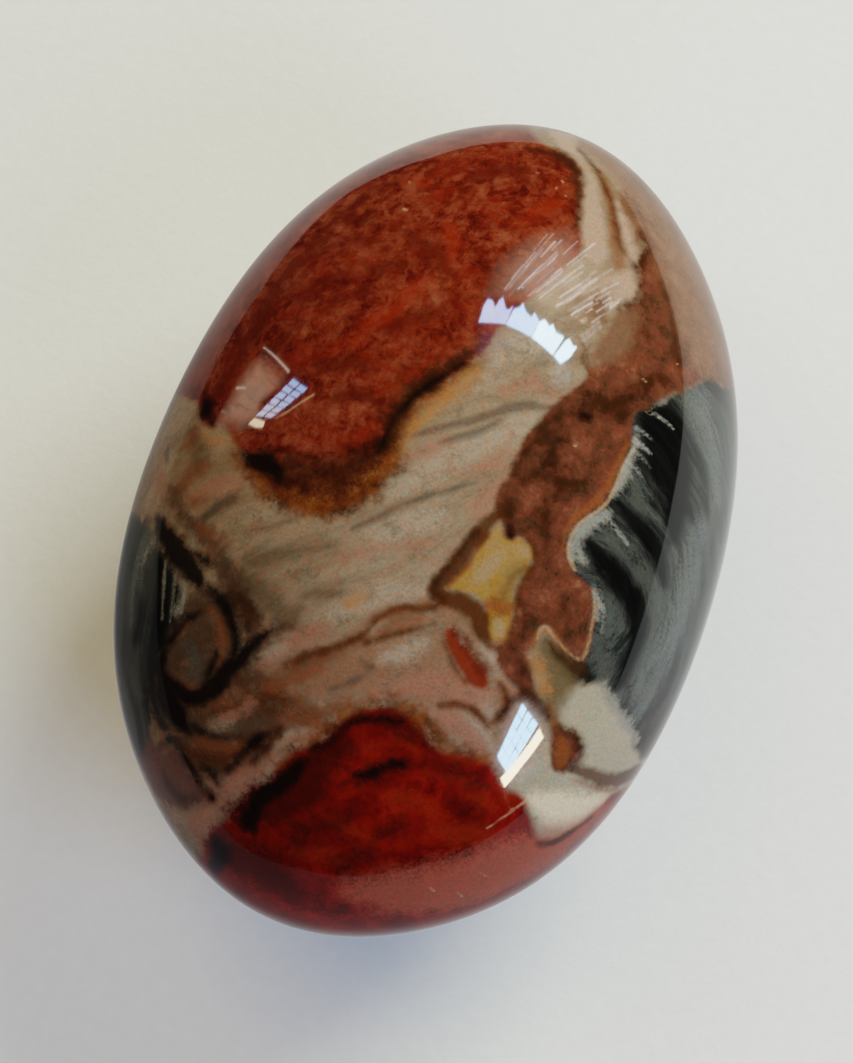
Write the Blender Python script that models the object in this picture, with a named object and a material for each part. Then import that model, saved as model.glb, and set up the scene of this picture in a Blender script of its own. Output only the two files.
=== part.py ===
"""Polychrome jasper: one polished palm stone, an egg-like pebble lying on a broad side.

Units are metres and +Z is up. The origin is at the centre of the stone's footprint, on the surface that it
rests on. The long axis runs along Y, and its slightly slimmer end is at +Y. The short axis runs along X.
"""

import math

import bmesh
import bpy
from mathutils import Vector

# Overall size of the finished stone
LENGTH = 0.0741
WIDTH = 0.0500
HEIGHT = 0.0400

# How far the small flat that the stone rests on is cut into the round of its base
FLAT_DEPTH = 0.0003

# How the plan departs from a true ellipse. Each row is a count of lobes around the plan, their height as a
# share of the radius, and the direction of one of them in degrees from +X towards +Y. The three broad lobes
# make the +Y end slimmer than the -Y end, and the others are the slight flats of a stone ground by hand.
PLAN_LOBES = (
    (3, 0.0115, -28.3),
    (4, 0.0040, -44.0),
    (6, 0.0060, 25.3),
)

# Facets of the solid, around its plan and from its base to its top
FACETS_AROUND = 72
FACETS_UP = 40

# Main colours of the stone, in linear RGB
BLACK_GREEN = (0.010, 0.012, 0.010, 1.0)
BRICK_RED = (0.150, 0.022, 0.010, 1.0)
OCHRE_BROWN = (0.190, 0.085, 0.038, 1.0)
CREAM = (0.420, 0.350, 0.260, 1.0)

# Where each colour starts along the patch pattern, from 0 to 1
COLOUR_STOPS = (
    (0.30, BLACK_GREEN),
    (0.42, BRICK_RED),
    (0.52, OCHRE_BROWN),
    (0.62, CREAM),
)
PATCHES_PER_METRE = 28.0
PATCH_DETAIL = 4.0
PATCH_WARP = 1.5
POLISH_ROUGHNESS = 0.06
QUARTZ_IOR = 1.54
SMOOTH_UP_TO = math.radians(12)

STONE_NAME = "polychrome_jasper"


def clear_scene():
    for obj in list(bpy.data.objects):
        bpy.data.objects.remove(obj)


def plan_factor(direction):
    """How far the stone's side lies outside a true ellipse along a unit direction. At the top it is 1."""
    turn = math.atan2(direction.y, direction.x)
    lobes = sum(
        height * math.cos(count * (turn - math.radians(towards)))
        for count, height, towards in PLAN_LOBES
    )
    return 1 + lobes * (1 - direction.z**2)


def lobed(direction):
    """A point of the unit ball, moved sideways to give the stone's plan."""
    factor = plan_factor(direction)
    return Vector((direction.x * factor, direction.y * factor, direction.z))


def cut_base(mesh):
    """Cuts the lowest sliver off the ball and closes the opening with one flat face."""
    share = FLAT_DEPTH / (HEIGHT + FLAT_DEPTH)
    everything = mesh.verts[:] + mesh.edges[:] + mesh.faces[:]
    bmesh.ops.bisect_plane(
        mesh, geom=everything, plane_co=(0, 0, 2 * share - 1), plane_no=(0, 0, -1), clear_outer=True
    )
    rim = [edge for edge in mesh.edges if edge.is_boundary]
    bmesh.ops.contextual_create(mesh, geom=rim)
    bmesh.ops.recalc_face_normals(mesh, faces=mesh.faces[:])


def fit_to_size(mesh):
    """Stretches the ball to the stone's overall size, standing on the origin."""
    low = [min(vertex.co[axis] for vertex in mesh.verts) for axis in range(3)]
    high = [max(vertex.co[axis] for vertex in mesh.verts) for axis in range(3)]
    size = (WIDTH, LENGTH, HEIGHT)
    start = (-WIDTH / 2, -LENGTH / 2, 0.0)
    for vertex in mesh.verts:
        for axis in range(3):
            share = (vertex.co[axis] - low[axis]) / (high[axis] - low[axis])
            vertex.co[axis] = start[axis] + share * size[axis]


def stone_mesh():
    """The stone as one closed body."""
    mesh = bmesh.new()
    bmesh.ops.create_uvsphere(mesh, u_segments=FACETS_AROUND, v_segments=FACETS_UP, radius=1)
    for vertex in mesh.verts:
        vertex.co = lobed(vertex.co.normalized())
    cut_base(mesh)
    fit_to_size(mesh)
    data = bpy.data.meshes.new(STONE_NAME)
    mesh.to_mesh(data)
    mesh.free()
    return data


def fill_ramp(ramp, stops):
    """Sets a colour ramp to the given places and colours."""
    while len(ramp.elements) < len(stops):
        ramp.elements.new(1.0)
    for element, (place, colour) in zip(ramp.elements, stops):
        element.position = place
        element.color = colour


def jasper_material():
    """Polished opaque jasper, with warped patches of near-black, brick red, ochre brown and cream."""
    material = bpy.data.materials.new("polished_jasper")
    material.use_nodes = True
    nodes = material.node_tree.nodes
    links = material.node_tree.links
    shader = nodes["Principled BSDF"]
    shader.inputs["Base Color"].default_value = BRICK_RED
    shader.inputs["Metallic"].default_value = 0.0
    shader.inputs["Roughness"].default_value = POLISH_ROUGHNESS
    shader.inputs["IOR"].default_value = QUARTZ_IOR

    place = nodes.new("ShaderNodeTexCoord")
    patches = nodes.new("ShaderNodeTexNoise")
    patches.inputs["Scale"].default_value = PATCHES_PER_METRE
    patches.inputs["Detail"].default_value = PATCH_DETAIL
    patches.inputs["Distortion"].default_value = PATCH_WARP
    colours = nodes.new("ShaderNodeValToRGB")
    fill_ramp(colours.color_ramp, COLOUR_STOPS)
    links.new(place.outputs["Object"], patches.inputs["Vector"])
    links.new(patches.outputs["Fac"], colours.inputs["Fac"])
    links.new(colours.outputs["Color"], shader.inputs["Base Color"])
    return material


def build():
    clear_scene()
    collection = bpy.data.collections.new("polychrome_jasper_stone")
    bpy.context.scene.collection.children.link(collection)
    stone = bpy.data.objects.new(STONE_NAME, stone_mesh())
    stone.data.materials.append(jasper_material())
    stone.data.shade_smooth()
    stone.data.set_sharp_from_angle(angle=SMOOTH_UP_TO)
    collection.objects.link(stone)


build()
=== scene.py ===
import math

import bmesh
import bpy
import numpy as np
from mathutils import Matrix, Vector
from mathutils.bvhtree import BVHTree


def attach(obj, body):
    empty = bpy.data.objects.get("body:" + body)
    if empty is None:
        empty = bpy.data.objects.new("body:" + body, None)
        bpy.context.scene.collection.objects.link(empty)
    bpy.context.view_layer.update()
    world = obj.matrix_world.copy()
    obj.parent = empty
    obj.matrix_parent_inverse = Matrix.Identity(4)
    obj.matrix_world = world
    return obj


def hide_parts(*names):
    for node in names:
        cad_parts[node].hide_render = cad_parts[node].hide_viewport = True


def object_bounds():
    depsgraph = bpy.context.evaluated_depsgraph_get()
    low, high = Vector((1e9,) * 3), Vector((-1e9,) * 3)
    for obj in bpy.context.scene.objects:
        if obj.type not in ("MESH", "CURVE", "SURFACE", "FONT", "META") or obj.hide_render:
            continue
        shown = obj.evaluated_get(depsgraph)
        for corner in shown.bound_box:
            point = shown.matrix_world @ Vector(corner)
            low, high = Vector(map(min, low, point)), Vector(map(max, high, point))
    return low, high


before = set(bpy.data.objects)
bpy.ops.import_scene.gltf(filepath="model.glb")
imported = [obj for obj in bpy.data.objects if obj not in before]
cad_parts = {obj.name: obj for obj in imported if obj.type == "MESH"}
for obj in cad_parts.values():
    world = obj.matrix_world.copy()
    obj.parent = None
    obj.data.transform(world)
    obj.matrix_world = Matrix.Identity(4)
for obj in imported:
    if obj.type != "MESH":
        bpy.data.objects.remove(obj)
cad_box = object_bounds()

# The stone's node, its body and its place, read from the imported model
NODE = "polychrome_jasper"
BODY = "root"
LOW = np.array(cad_box[0])
HIGH = np.array(cad_box[1])
SIZE = HIGH - LOW
MIDDLE = (LOW + HIGH) / 2

# The form of the solid: lobes around the plan (count, share of the radius, direction in degrees) and the
# depth of the flat that the stone rests on
PLAN_LOBES = (
    (3, 0.0115, -28.3),
    (4, 0.0040, -44.0),
    (6, 0.0060, 25.3),
)
FLAT_DEPTH = 0.0003

# The photograph's frame, in pixels, and where its camera stands
PHOTO_WIDTH = 853
PHOTO_HEIGHT = 1063
CAMERA_TURN = math.radians(18.425)
CAMERA_RISE = math.radians(74)
CAMERA_DISTANCE = 0.280
CAMERA_LENS = 110.15
CAMERA_SENSOR = 36.0
AIM_RIGHT = -0.000604
AIM_UP = -0.001014
NEAREST_SEEN = 0.01
FARTHEST_SEEN = 20.0

# Squares along each edge of the cube that the fine surface is blown up from, and how strongly its points
# crowd towards the photographed side
GRID = 126
CROWDING = 0.5

# Pixels of the photograph in a millimetre at the stone's middle
PIXELS_PER_MM = 11.6

# Where the surface turns away from the camera the pattern is unrolled, so that it isn't smeared down the
# side. That starts at this angle, and the side is taken as round with this radius in pixels.
UNROLL_FROM = math.radians(60)
UNROLL_RADIUS = 151.0

# Between these angles from the camera the drawn pattern gives way to a random one of the same kind
HIDDEN_FROM = math.radians(84)
HIDDEN_TO = math.radians(122)

# Distances to the edge of a marking are kept up to this many pixels
REACH = 40.0

# Smallest length that anything is divided by
TINY = 1e-9

# Markings that cover an area, as outlines in the photograph's pixels. They run on past the stone's outline.
AREAS = {
    "umber": {
        "dark ground at the left": (
            (158, 600), (178, 596), (200, 584), (225, 588), (242, 598), (246, 620), (244, 640), (248, 654),
            (266, 668), (290, 684), (296, 704), (286, 722), (270, 740), (252, 752), (232, 768), (216, 780),
            (200, 776), (180, 758), (160, 735), (152, 700), (154, 650),
        ),
    },
    "pale": {
        "white ground at the lower right": (
            (560, 708), (568, 694), (582, 684), (597, 682), (606, 690), (612, 704), (624, 716), (645, 722),
            (668, 718), (690, 708), (790, 700), (760, 800), (680, 850), (606, 818), (590, 827), (570, 835),
            (552, 841), (540, 840), (534, 828), (530, 814), (524, 803), (514, 796), (508, 787), (516, 772),
            (535, 758), (548, 744), (556, 726),
        ),
    },
    "shell": {
        "strip beside the upper red patch": (
            (556, 100), (562, 135), (572, 149), (580, 166), (584, 188), (583, 212), (580, 232), (586, 250),
            (596, 264), (606, 260), (607, 240), (603, 220), (599, 198), (595, 180), (588, 160), (582, 140),
            (590, 100),
        ),
        "lobe at the upper right": (
            (612, 276), (624, 271), (633, 273), (637, 284), (634, 296), (625, 303), (612, 301), (600, 296),
            (602, 284),
        ),
        "small lobe above it": ((622, 244), (630, 243), (637, 250), (640, 259), (634, 264), (625, 258)),
        "tongue above the lobes": ((615, 202), (622, 206), (629, 222), (632, 240), (625, 243), (619, 226)),
    },
    "wine": {
        "purple ground at the lower left": (
            (120, 720), (150, 735), (165, 748), (182, 752), (194, 768), (206, 786), (214, 800), (190, 808),
            (160, 812), (120, 800), (90, 760),
        ),
    },
    "slate": {
        "brushed zone at the right": (
            (622, 425), (640, 407), (662, 396), (686, 389), (698, 383), (708, 376), (718, 371), (740, 384),
            (800, 380), (880, 470), (890, 640), (840, 760), (740, 790), (680, 778), (652, 762), (638, 746),
            (626, 726), (613, 706), (604, 688), (592, 682), (572, 684), (560, 672), (556, 652), (562, 634),
            (575, 620), (562, 580), (556, 530), (590, 500), (612, 466),
        ),
        "dark zone at the left rim": (
            (150, 530), (158, 545), (166, 562), (176, 577), (186, 597), (182, 612), (170, 632), (160, 655),
            (153, 680), (154, 702), (150, 724), (142, 742), (110, 770), (40, 780), (-20, 680), (-10, 540),
            (80, 500), (128, 516),
        ),
    },
    "brown": {
        "tree and the ground above it": (
            (590, 368), (584, 380), (573, 387), (562, 396), (552, 405), (542, 416), (533, 426), (525, 438),
            (519, 451), (514, 463), (508, 475), (502, 484), (497, 494), (496, 508), (500, 520), (505, 534),
            (511, 541), (519, 537), (531, 549), (531, 558), (526, 574), (518, 592), (514, 612), (512, 628),
            (504, 640), (494, 646), (497, 658), (504, 672), (514, 685), (527, 700), (540, 712), (549, 722),
            (551, 735), (549, 750), (550, 764), (557, 773), (568, 773), (577, 765), (582, 752), (580, 738),
            (573, 729), (563, 725), (555, 716), (545, 704), (536, 693), (536, 682), (531, 668), (528, 656),
            (534, 644), (538, 632), (544, 626), (551, 629), (558, 638), (566, 647), (574, 655), (580, 656),
            (584, 648), (588, 634), (592, 618), (592, 600), (589, 588), (582, 579), (574, 571), (568, 561),
            (566, 549), (568, 536), (575, 525), (586, 516), (599, 508), (607, 499), (613, 487), (618, 474),
            (623, 461), (630, 449), (633, 436), (632, 422), (636, 413), (648, 410), (658, 403), (670, 395),
            (686, 389), (698, 383), (708, 376), (718, 371), (740, 382), (810, 370), (850, 290), (820, 190),
            (740, 110), (680, 130), (640, 170), (622, 196), (628, 214), (640, 232), (645, 250), (638, 262),
            (640, 280), (637, 298), (628, 306), (626, 322), (630, 340), (620, 352), (604, 360),
        ),
    },
    "yellow": {
        "cell in the tree": (
            (497, 524), (503, 533), (507, 539), (513, 541), (519, 538), (525, 543), (532, 550), (531, 561),
            (525, 571), (517, 579), (513, 592), (514, 604), (512, 618), (509, 632), (503, 641), (496, 643),
            (489, 638), (485, 626), (486, 612), (489, 603), (484, 599), (474, 595), (462, 591), (450, 590),
            (443, 588), (450, 581), (460, 573), (468, 564), (475, 553), (482, 543), (489, 534),
        ),
    },
    "red": {
        "upper patch": (
            (530, 60), (534, 110), (542, 130), (553, 141), (563, 147), (572, 155), (579, 167), (582, 185),
            (580, 209), (579, 228), (583, 243), (580, 256), (568, 267), (552, 281), (535, 295), (518, 310),
            (505, 322), (496, 335), (482, 355), (470, 364), (458, 372), (445, 383), (425, 398), (408, 413),
            (399, 428), (396, 442), (393, 455), (388, 468), (380, 480), (370, 492), (358, 502), (345, 510),
            (330, 513), (315, 514), (304, 510), (292, 503), (279, 498), (268, 490), (259, 480), (252, 468),
            (245, 456), (236, 446), (230, 434), (222, 424), (212, 427), (203, 425), (198, 414), (194, 402),
            (182, 396), (150, 380), (60, 350), (30, 250), (100, 120), (220, 20), (400, -30), (500, 0),
        ),
    },
    "crimson": {
        "lower patch": (
            (170, 880), (194, 862), (200, 847), (207, 836), (214, 827), (223, 821), (232, 815), (236, 805),
            (243, 796), (251, 788), (260, 784), (270, 779), (276, 770), (281, 762), (289, 755), (298, 748),
            (308, 745), (318, 741), (328, 733), (337, 724), (345, 716), (356, 710), (372, 706), (390, 706),
            (405, 710), (416, 717), (424, 728), (430, 739), (437, 747), (446, 752), (456, 752), (467, 754),
            (478, 758), (490, 764), (498, 772), (503, 784), (509, 790), (520, 795), (526, 802), (529, 812),
            (534, 826), (540, 840), (552, 841), (570, 835), (590, 827), (606, 818), (640, 802), (720, 840),
            (700, 960), (560, 1080), (380, 1120), (200, 1060), (110, 960),
        ),
    },
    "blaze": {
        "slug beside the cell": (
            (444, 629), (450, 628), (456, 634), (462, 644), (469, 652), (477, 661), (484, 671), (489, 681),
            (487, 687), (479, 688), (470, 684), (463, 675), (457, 664), (451, 653), (446, 641),
        ),
    },
}

# Markings drawn as one stroke of varying width: each point is across, down and the width there, in pixels
STROKES = {
    "umber": {
        "ground of the black stroke": (
            (172, 492, 14), (186, 520, 16), (212, 545, 22), (225, 572, 26), (240, 596, 26),
        ),
        "ground of the branch": ((292, 629, 10), (274, 633, 18), (258, 646, 24), (244, 660, 22)),
        "brown of the upper strand": ((300, 668, 22), (322, 660, 18), (340, 654, 8)),
    },
    "sienna": {
        "right of the oval": (
            (236, 678, 12), (256, 694, 26), (280, 702, 32), (304, 712, 28), (324, 714, 14),
        ),
        "below the oval": ((178, 706, 12), (204, 708, 18), (230, 702, 16)),
        "by the lower curls": ((186, 756, 16), (212, 757, 26), (240, 756, 32), (262, 750, 26)),
    },
    "olive": {
        "right of the oval": ((240, 592, 12), (254, 612, 22), (254, 636, 16)),
        "dark ground of the band": (
            (232, 570, 20), (252, 588, 30), (270, 600, 26), (284, 616, 26), (300, 608, 10),
        ),
        "second dark ground": ((250, 562, 18), (275, 556, 20), (300, 549, 16), (335, 546, 8)),
        "grey ground at the left": ((206, 516, 10), (222, 508, 14), (240, 497, 10)),
        "green streak in the band": ((300, 596, 8), (318, 593, 12), (338, 594, 8)),
        "olive of the corner": ((196, 436, 8), (200, 450, 14), (196, 466, 8)),
        "veil of the ground": ((500, 700, 8), (515, 690, 14), (528, 698, 12)),
    },
    "tan": {
        "lower part of the band": (
            (292, 690, 14), (318, 682, 34), (352, 672, 48), (400, 662, 60), (440, 676, 80), (472, 706, 70),
            (486, 736, 30),
        ),
        "upper end of the lines": ((380, 618, 12), (420, 616, 20), (450, 612, 26), (476, 630, 24)),
        "foot of the band": ((486, 700, 20), (506, 716, 24), (520, 740, 18), (516, 766, 10)),
    },
    "light": {
        "widest light of the band": (
            (388, 494, 12), (425, 470, 26), (468, 450, 30), (505, 433, 24), (538, 418, 10),
        ),
        "light by the cell": ((335, 614, 14), (365, 601, 20), (400, 592, 18), (432, 592, 8)),
        "light in the middle": ((375, 536, 16), (408, 526, 24), (440, 517, 16)),
        "light under the lines": ((385, 656, 12), (405, 653, 20), (425, 642, 12)),
        "light at the top of the band": ((490, 368, 10), (512, 352, 22), (535, 345, 18)),
        "light left of the tail": ((483, 646, 6), (489, 658, 10), (497, 672, 8)),
        "light by the lower curl": ((458, 718, 6), (472, 722, 12), (486, 738, 14), (492, 752, 8)),
        "light in the loop": ((484, 700, 8), (488, 710, 12)),
        "light in the corner": ((210, 434, 10), (218, 440, 16), (226, 448, 8)),
        "light at the rim": ((136, 500, 14), (150, 478, 22), (164, 455, 14)),
        "pale wedge at the lower left": ((200, 836, 10), (216, 808, 12), (232, 792, 10), (250, 778, 6)),
        "curl at the left": ((212, 727, 5), (222, 725, 8), (232, 722, 5)),
        "light of the left rim": ((150, 502, 12), (158, 490, 8)),
        "dash by the oval": ((268, 656, 6), (276, 652, 9), (286, 646, 5)),
    },
    "pink": {
        "blush below the light": ((470, 470, 10), (490, 463, 16), (506, 452, 10)),
        "blush beside the tree": (
            (474, 514, 10), (487, 499, 18), (500, 484, 12), (516, 466, 8), (528, 446, 6),
        ),
        "blush by the window": ((505, 392, 12), (530, 382, 16), (556, 396, 10)),
        "first thread": ((400, 462, 6), (425, 452, 12), (448, 440, 6)),
        "second thread": ((342, 560, 6), (362, 550, 12), (385, 545, 4)),
        "third thread": ((398, 550, 6), (410, 546, 10), (430, 540, 4)),
        "veil over the lower patch": ((380, 690, 16), (415, 686, 26), (450, 690, 28), (480, 696, 18)),
        "fan of the lower patch": ((432, 712, 10), (455, 724, 22), (474, 742, 20), (486, 756, 8)),
        "blush above the line": ((292, 640, 12), (310, 634, 20), (328, 632, 12)),
        "blush at the left": ((196, 494, 14), (218, 486, 18), (240, 478, 12)),
        "left rim": ((150, 470, 14), (160, 492, 16)),
        "curl": ((226, 718, 8), (240, 712, 11), (252, 704, 8)),
        "edge of the wedge": ((268, 762, 5), (282, 748, 6), (300, 738, 6), (318, 728, 5)),
        "wedge": ((194, 834, 24), (210, 808, 26), (230, 788, 24), (254, 772, 18), (274, 754, 10)),
        "dash above the line": ((262, 668, 5), (276, 660, 6), (290, 654, 5)),
        "ground above the tail": ((500, 678, 6), (512, 690, 10), (520, 698, 8)),
        "left edge of the wedge": ((520, 798, 6), (528, 808, 9), (534, 822, 6)),
    },
    "rust": {
        "ground under the line": ((268, 686, 14), (292, 678, 20), (316, 668, 14)),
        "ground of the line": ((276, 672, 12), (310, 660, 14), (345, 646, 14), (368, 636, 12)),
        "ground of its upper part": ((366, 626, 8), (384, 614, 12), (412, 608, 12), (444, 602, 12)),
        "stain between the lines": ((374, 634, 10), (395, 624, 13), (418, 620, 10)),
        "stain at the left": ((200, 530, 10), (212, 534, 12), (222, 538, 6)),
        "second stain at the left": ((190, 500, 8), (198, 503, 11), (206, 500, 6)),
        "ground of the corner": ((182, 484, 12), (192, 476, 16), (206, 466, 10)),
        "side of the oval": ((213, 612, 6), (221, 628, 11), (223, 646, 12), (219, 662, 7)),
        "foot of the oval": ((178, 678, 6), (190, 688, 10), (200, 686, 6)),
        "curl": ((198, 742, 8), (220, 746, 16), (238, 745, 8)),
        "second curl": ((206, 706, 8), (225, 702, 12), (236, 696, 8)),
        "ground over the lower patch": ((292, 722, 10), (318, 714, 16), (340, 706, 14), (352, 700, 8)),
        "orange of the corner": ((182, 446, 8), (192, 440, 14), (196, 430, 8)),
        "strand over the lower patch": ((272, 738, 8), (284, 722, 14), (300, 706, 12)),
        "vein at the upper right": (
            (602, 166, 6), (606, 180, 12), (609, 198, 15), (613, 215, 14), (614, 232, 14), (618, 248, 17),
            (620, 264, 13),
        ),
        "blush of the vein": ((624, 204, 5), (631, 222, 12), (638, 238, 8)),
    },
    "grey": {
        "dark streak": (
            (412, 436, 4), (430, 431, 7), (448, 426, 7), (470, 422, 8), (490, 415, 8), (508, 408, 9),
            (526, 405, 10), (542, 407, 7), (556, 408, 3),
        ),
        "its lower branch": ((440, 442, 3), (462, 436, 7), (482, 430, 7), (500, 420, 5)),
        "middle streak": (
            (352, 528, 4), (378, 517, 7), (400, 505, 7), (428, 496, 6), (455, 488, 5), (476, 483, 3),
        ),
        "left streak": ((204, 516, 5), (218, 506, 8), (236, 497, 6)),
        "stain in the band": ((362, 662, 5), (370, 668, 8)),
        "thread in the band": ((330, 690, 5), (345, 684, 7), (365, 676, 4)),
        "spot by the window": ((542, 771, 6), (545, 773, 6)),
        "mark on the white ground": ((626, 757, 5), (630, 758, 5)),
        "left rim": ((156, 446, 8), (160, 458, 6)),
        "second at the left rim": ((138, 516, 8), (148, 522, 8)),
        "third at the left rim": ((158, 722, 10), (166, 738, 12), (160, 750, 6)),
    },
    # White stone lifted past its own colour by a painted reflection across the brightest part of the white
    # ground
    "white_with_painted_sheen": {
        "white ground with painted reflection": ((530, 800, 12), (555, 808, 30), (582, 810, 28), (606, 804, 16)),
    },
    "honey": {
        "outer fringe of the upper patch": (
            (482, 366, 5), (466, 380, 9), (450, 396, 13), (434, 410, 15), (420, 421, 11), (410, 434, 8),
            (404, 450, 6),
        ),
        "golden corner": ((204, 436, 4), (216, 442, 9), (226, 442, 6)),
        "gold in the band": ((345, 606, 5), (355, 601, 9), (365, 596, 5)),
        "gold of the notch": ((535, 656, 7), (541, 672, 11), (546, 690, 10)),
    },
    "ochre": {
        "fringe of the upper patch": (
            (484, 360, 6), (466, 373, 12), (449, 385, 16), (432, 398, 18), (415, 411, 18), (404, 426, 16),
            (398, 443, 15), (392, 460, 16), (384, 475, 17), (372, 488, 17), (357, 499, 17), (341, 506, 18),
            (325, 509, 18), (309, 508, 18), (294, 503, 17), (279, 497, 16), (265, 488, 16), (253, 477, 15),
            (243, 464, 14), (233, 452, 10),
        ),
        "fringe of the lower patch": (
            (278, 764, 3), (292, 750, 5), (312, 740, 7), (328, 728, 9), (342, 714, 10), (362, 704, 10),
            (390, 702, 11), (412, 709, 13), (427, 722, 15), (440, 740, 14), (458, 750, 10), (482, 757, 6),
        ),
    },
    "moss": {
        "middle of the brushed zone": ((628, 472, 8), (636, 486, 18), (638, 504, 18), (640, 520, 8)),
        "between the black strokes": ((600, 524, 8), (614, 541, 14), (628, 558, 12), (640, 580, 6)),
        "below the pocket": ((598, 596, 10), (610, 608, 22), (604, 628, 16)),
        "foot of the zone": ((594, 636, 14), (600, 656, 20), (604, 676, 14)),
        "inside the oval": ((188, 644, 5), (195, 660, 10), (192, 678, 6)),
        "first arc in the rim": ((688, 400, 18), (706, 440, 20), (718, 490, 16), (718, 540, 14)),
        "second arc in the rim": ((662, 560, 20), (660, 600, 24), (650, 640, 22), (640, 676, 20)),
        "third arc in the rim": ((690, 540, 12), (684, 600, 16), (672, 650, 14)),
        "left rim": ((140, 540, 18), (136, 575, 18), (128, 620, 14)),
        "second at the left rim": ((136, 650, 10), (132, 672, 16), (134, 694, 10)),
    },
    "ink": {
        "top of the brushed zone": (
            (642, 412, 14), (656, 420, 34), (664, 436, 48), (669, 462, 48), (676, 490, 28), (676, 516, 22),
            (672, 540, 10),
        ),
        "bridge": ((636, 428, 3), (648, 440, 12), (656, 456, 14)),
        "outer brush line": ((612, 500, 6), (628, 514, 14), (645, 534, 19), (659, 557, 19), (664, 584, 10)),
        "inner brush line": (
            (588, 542, 10), (602, 560, 20), (618, 578, 26), (632, 600, 24), (638, 626, 20), (632, 652, 16),
            (620, 684, 8),
        ),
        "foot of the zone": ((562, 662, 4), (574, 668, 12), (590, 678, 10)),
        "thin arc in the rim": ((682, 434, 5), (694, 450, 6), (704, 474, 5), (711, 510, 4), (711, 560, 3)),
        "left rim": ((160, 556, 10), (164, 585, 16), (160, 620, 22), (154, 655, 18), (152, 690, 12)),
        "second at the left rim": ((128, 590, 10), (136, 612, 18), (132, 640, 10)),
    },
    "haze": {
        "foot of the rim": ((704, 530, 20), (694, 590, 26), (674, 640, 28), (650, 690, 24), (636, 720, 12)),
        "middle of the rim": ((700, 400, 14), (716, 440, 16), (728, 500, 16)),
        "left rim": ((148, 535, 16), (134, 556, 18), (124, 590, 14), (122, 620, 8)),
    },
    "frost": {
        "pocket": ((571, 560, 4), (574, 545, 8), (582, 530, 14), (594, 520, 14), (606, 515, 8)),
        "pocket's floor": ((578, 548, 8), (582, 560, 7)),
        "strip below it": ((594, 589, 3), (598, 602, 6), (596, 618, 3)),
        "strip above it": ((634, 452, 5), (626, 466, 10), (622, 480, 12), (612, 494, 5)),
        "bright of the upper edge": ((636, 436, 4), (632, 452, 6), (626, 466, 6)),
        "by the white ground": ((602, 684, 6), (612, 704, 11), (626, 724, 11), (642, 744, 8)),
        "corner": ((655, 404, 3), (668, 397, 4)),
        "left rim slash": ((152, 540, 2), (144, 552, 4), (136, 566, 2)),
        "left inner slash": ((183, 582, 3), (184, 597, 5), (177, 614, 3)),
        "scratch at the left": ((192, 532, 2), (193, 548, 2)),
    },
    "thread": {
        "first": ((636, 428, 4), (644, 433, 3), (652, 440, 1)),
        "third": ((634, 440, 4), (643, 446, 3), (651, 454, 1)),
        "fourth": ((632, 450, 3), (642, 458, 2), (650, 468, 1)),
        "fifth": ((628, 462, 3), (637, 470, 2), (644, 480, 1)),
        "seventh": ((646, 412, 2), (660, 418, 2), (674, 428, 1)),
        "eighth": ((608, 518, 2), (618, 530, 3), (628, 544, 1)),
        "ninth": ((600, 600, 2), (604, 616, 3), (600, 634, 1)),
        "first at the left": ((166, 560, 1), (163, 590, 1), (162, 620, 0)),
        "second at the left": ((176, 572, 1), (173, 600, 1), (170, 624, 0)),
        "third at the left": ((184, 588, 2), (184, 600, 3), (180, 614, 1)),
        "fourth at the left": ((189, 540, 2), (190, 560, 1)),
    },
    "sand": {
        "tan rim at the upper right": (
            (600, 122, 30), (660, 180, 60), (699, 246, 90), (716, 304, 96), (722, 342, 72),
        ),
        "pink of the upper right": ((626, 190, 8), (636, 210, 12), (642, 232, 8)),
        "pale ground by the window": ((572, 300, 14), (588, 306, 18), (596, 318, 10)),
    },
    "bark": {
        "ground beside the tree's top": ((592, 362, 12), (610, 350, 28), (622, 330, 30), (630, 312, 18)),
        "ground over it": ((606, 322, 10), (600, 306, 14), (608, 292, 8)),
    },
    "milk": {
        "middle of the cell": ((476, 582, 6), (484, 574, 15), (492, 562, 15), (500, 552, 8)),
        "lower lobe": ((499, 624, 8), (499, 632, 11)),
        "upper right of the cell": ((512, 547, 5), (520, 549, 8), (526, 553, 6)),
    },
    "tarnish": {
        "grey of the cell": ((526, 566, 7), (518, 572, 11), (509, 584, 12), (503, 598, 12)),
        "ground under the cell": (
            (541, 640, 10), (547, 652, 22), (554, 666, 34), (562, 676, 32), (553, 693, 30), (550, 709, 20),
            (554, 720, 10),
        ),
        "left of the lower lobe": ((450, 598, 8), (464, 604, 16), (474, 616, 16), (480, 632, 10)),
    },
    "fire": {
        "first": ((400, 299, 8), (414, 291, 14), (428, 284, 6)),
        "second": ((360, 326, 6), (380, 318, 13), (398, 308, 5)),
        "third": ((335, 350, 5), (352, 344, 9), (366, 336, 4)),
        "fourth": ((450, 228, 8), (454, 246, 12), (448, 262, 6)),
        "fifth": ((392, 388, 5), (412, 374, 9), (438, 357, 7), (462, 343, 4)),
        "sixth": ((520, 224, 5), (540, 210, 10), (556, 204, 5)),
        "seventh": ((404, 182, 5), (420, 184, 8), (436, 190, 4)),
        "eighth": ((384, 420, 6), (364, 436, 10), (340, 446, 8)),
        "lower, first": ((386, 800, 10), (410, 800, 20), (430, 808, 12)),
        "lower, second": ((430, 830, 10), (460, 834, 26), (486, 834, 16)),
        "lower, third": ((296, 850, 5), (320, 853, 11), (345, 862, 5)),
        "lower, fourth": ((350, 752, 4), (366, 748, 6), (384, 745, 4)),
        "lower, fifth": ((330, 815, 4), (350, 830, 9), (370, 838, 6)),
        "lower, sixth": ((425, 775, 5), (455, 778, 9), (480, 786, 5)),
        "lower, seventh": ((392, 734, 5), (404, 741, 10), (418, 752, 6)),
        "lower, eighth": ((466, 794, 5), (482, 800, 12), (498, 808, 6)),
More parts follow.
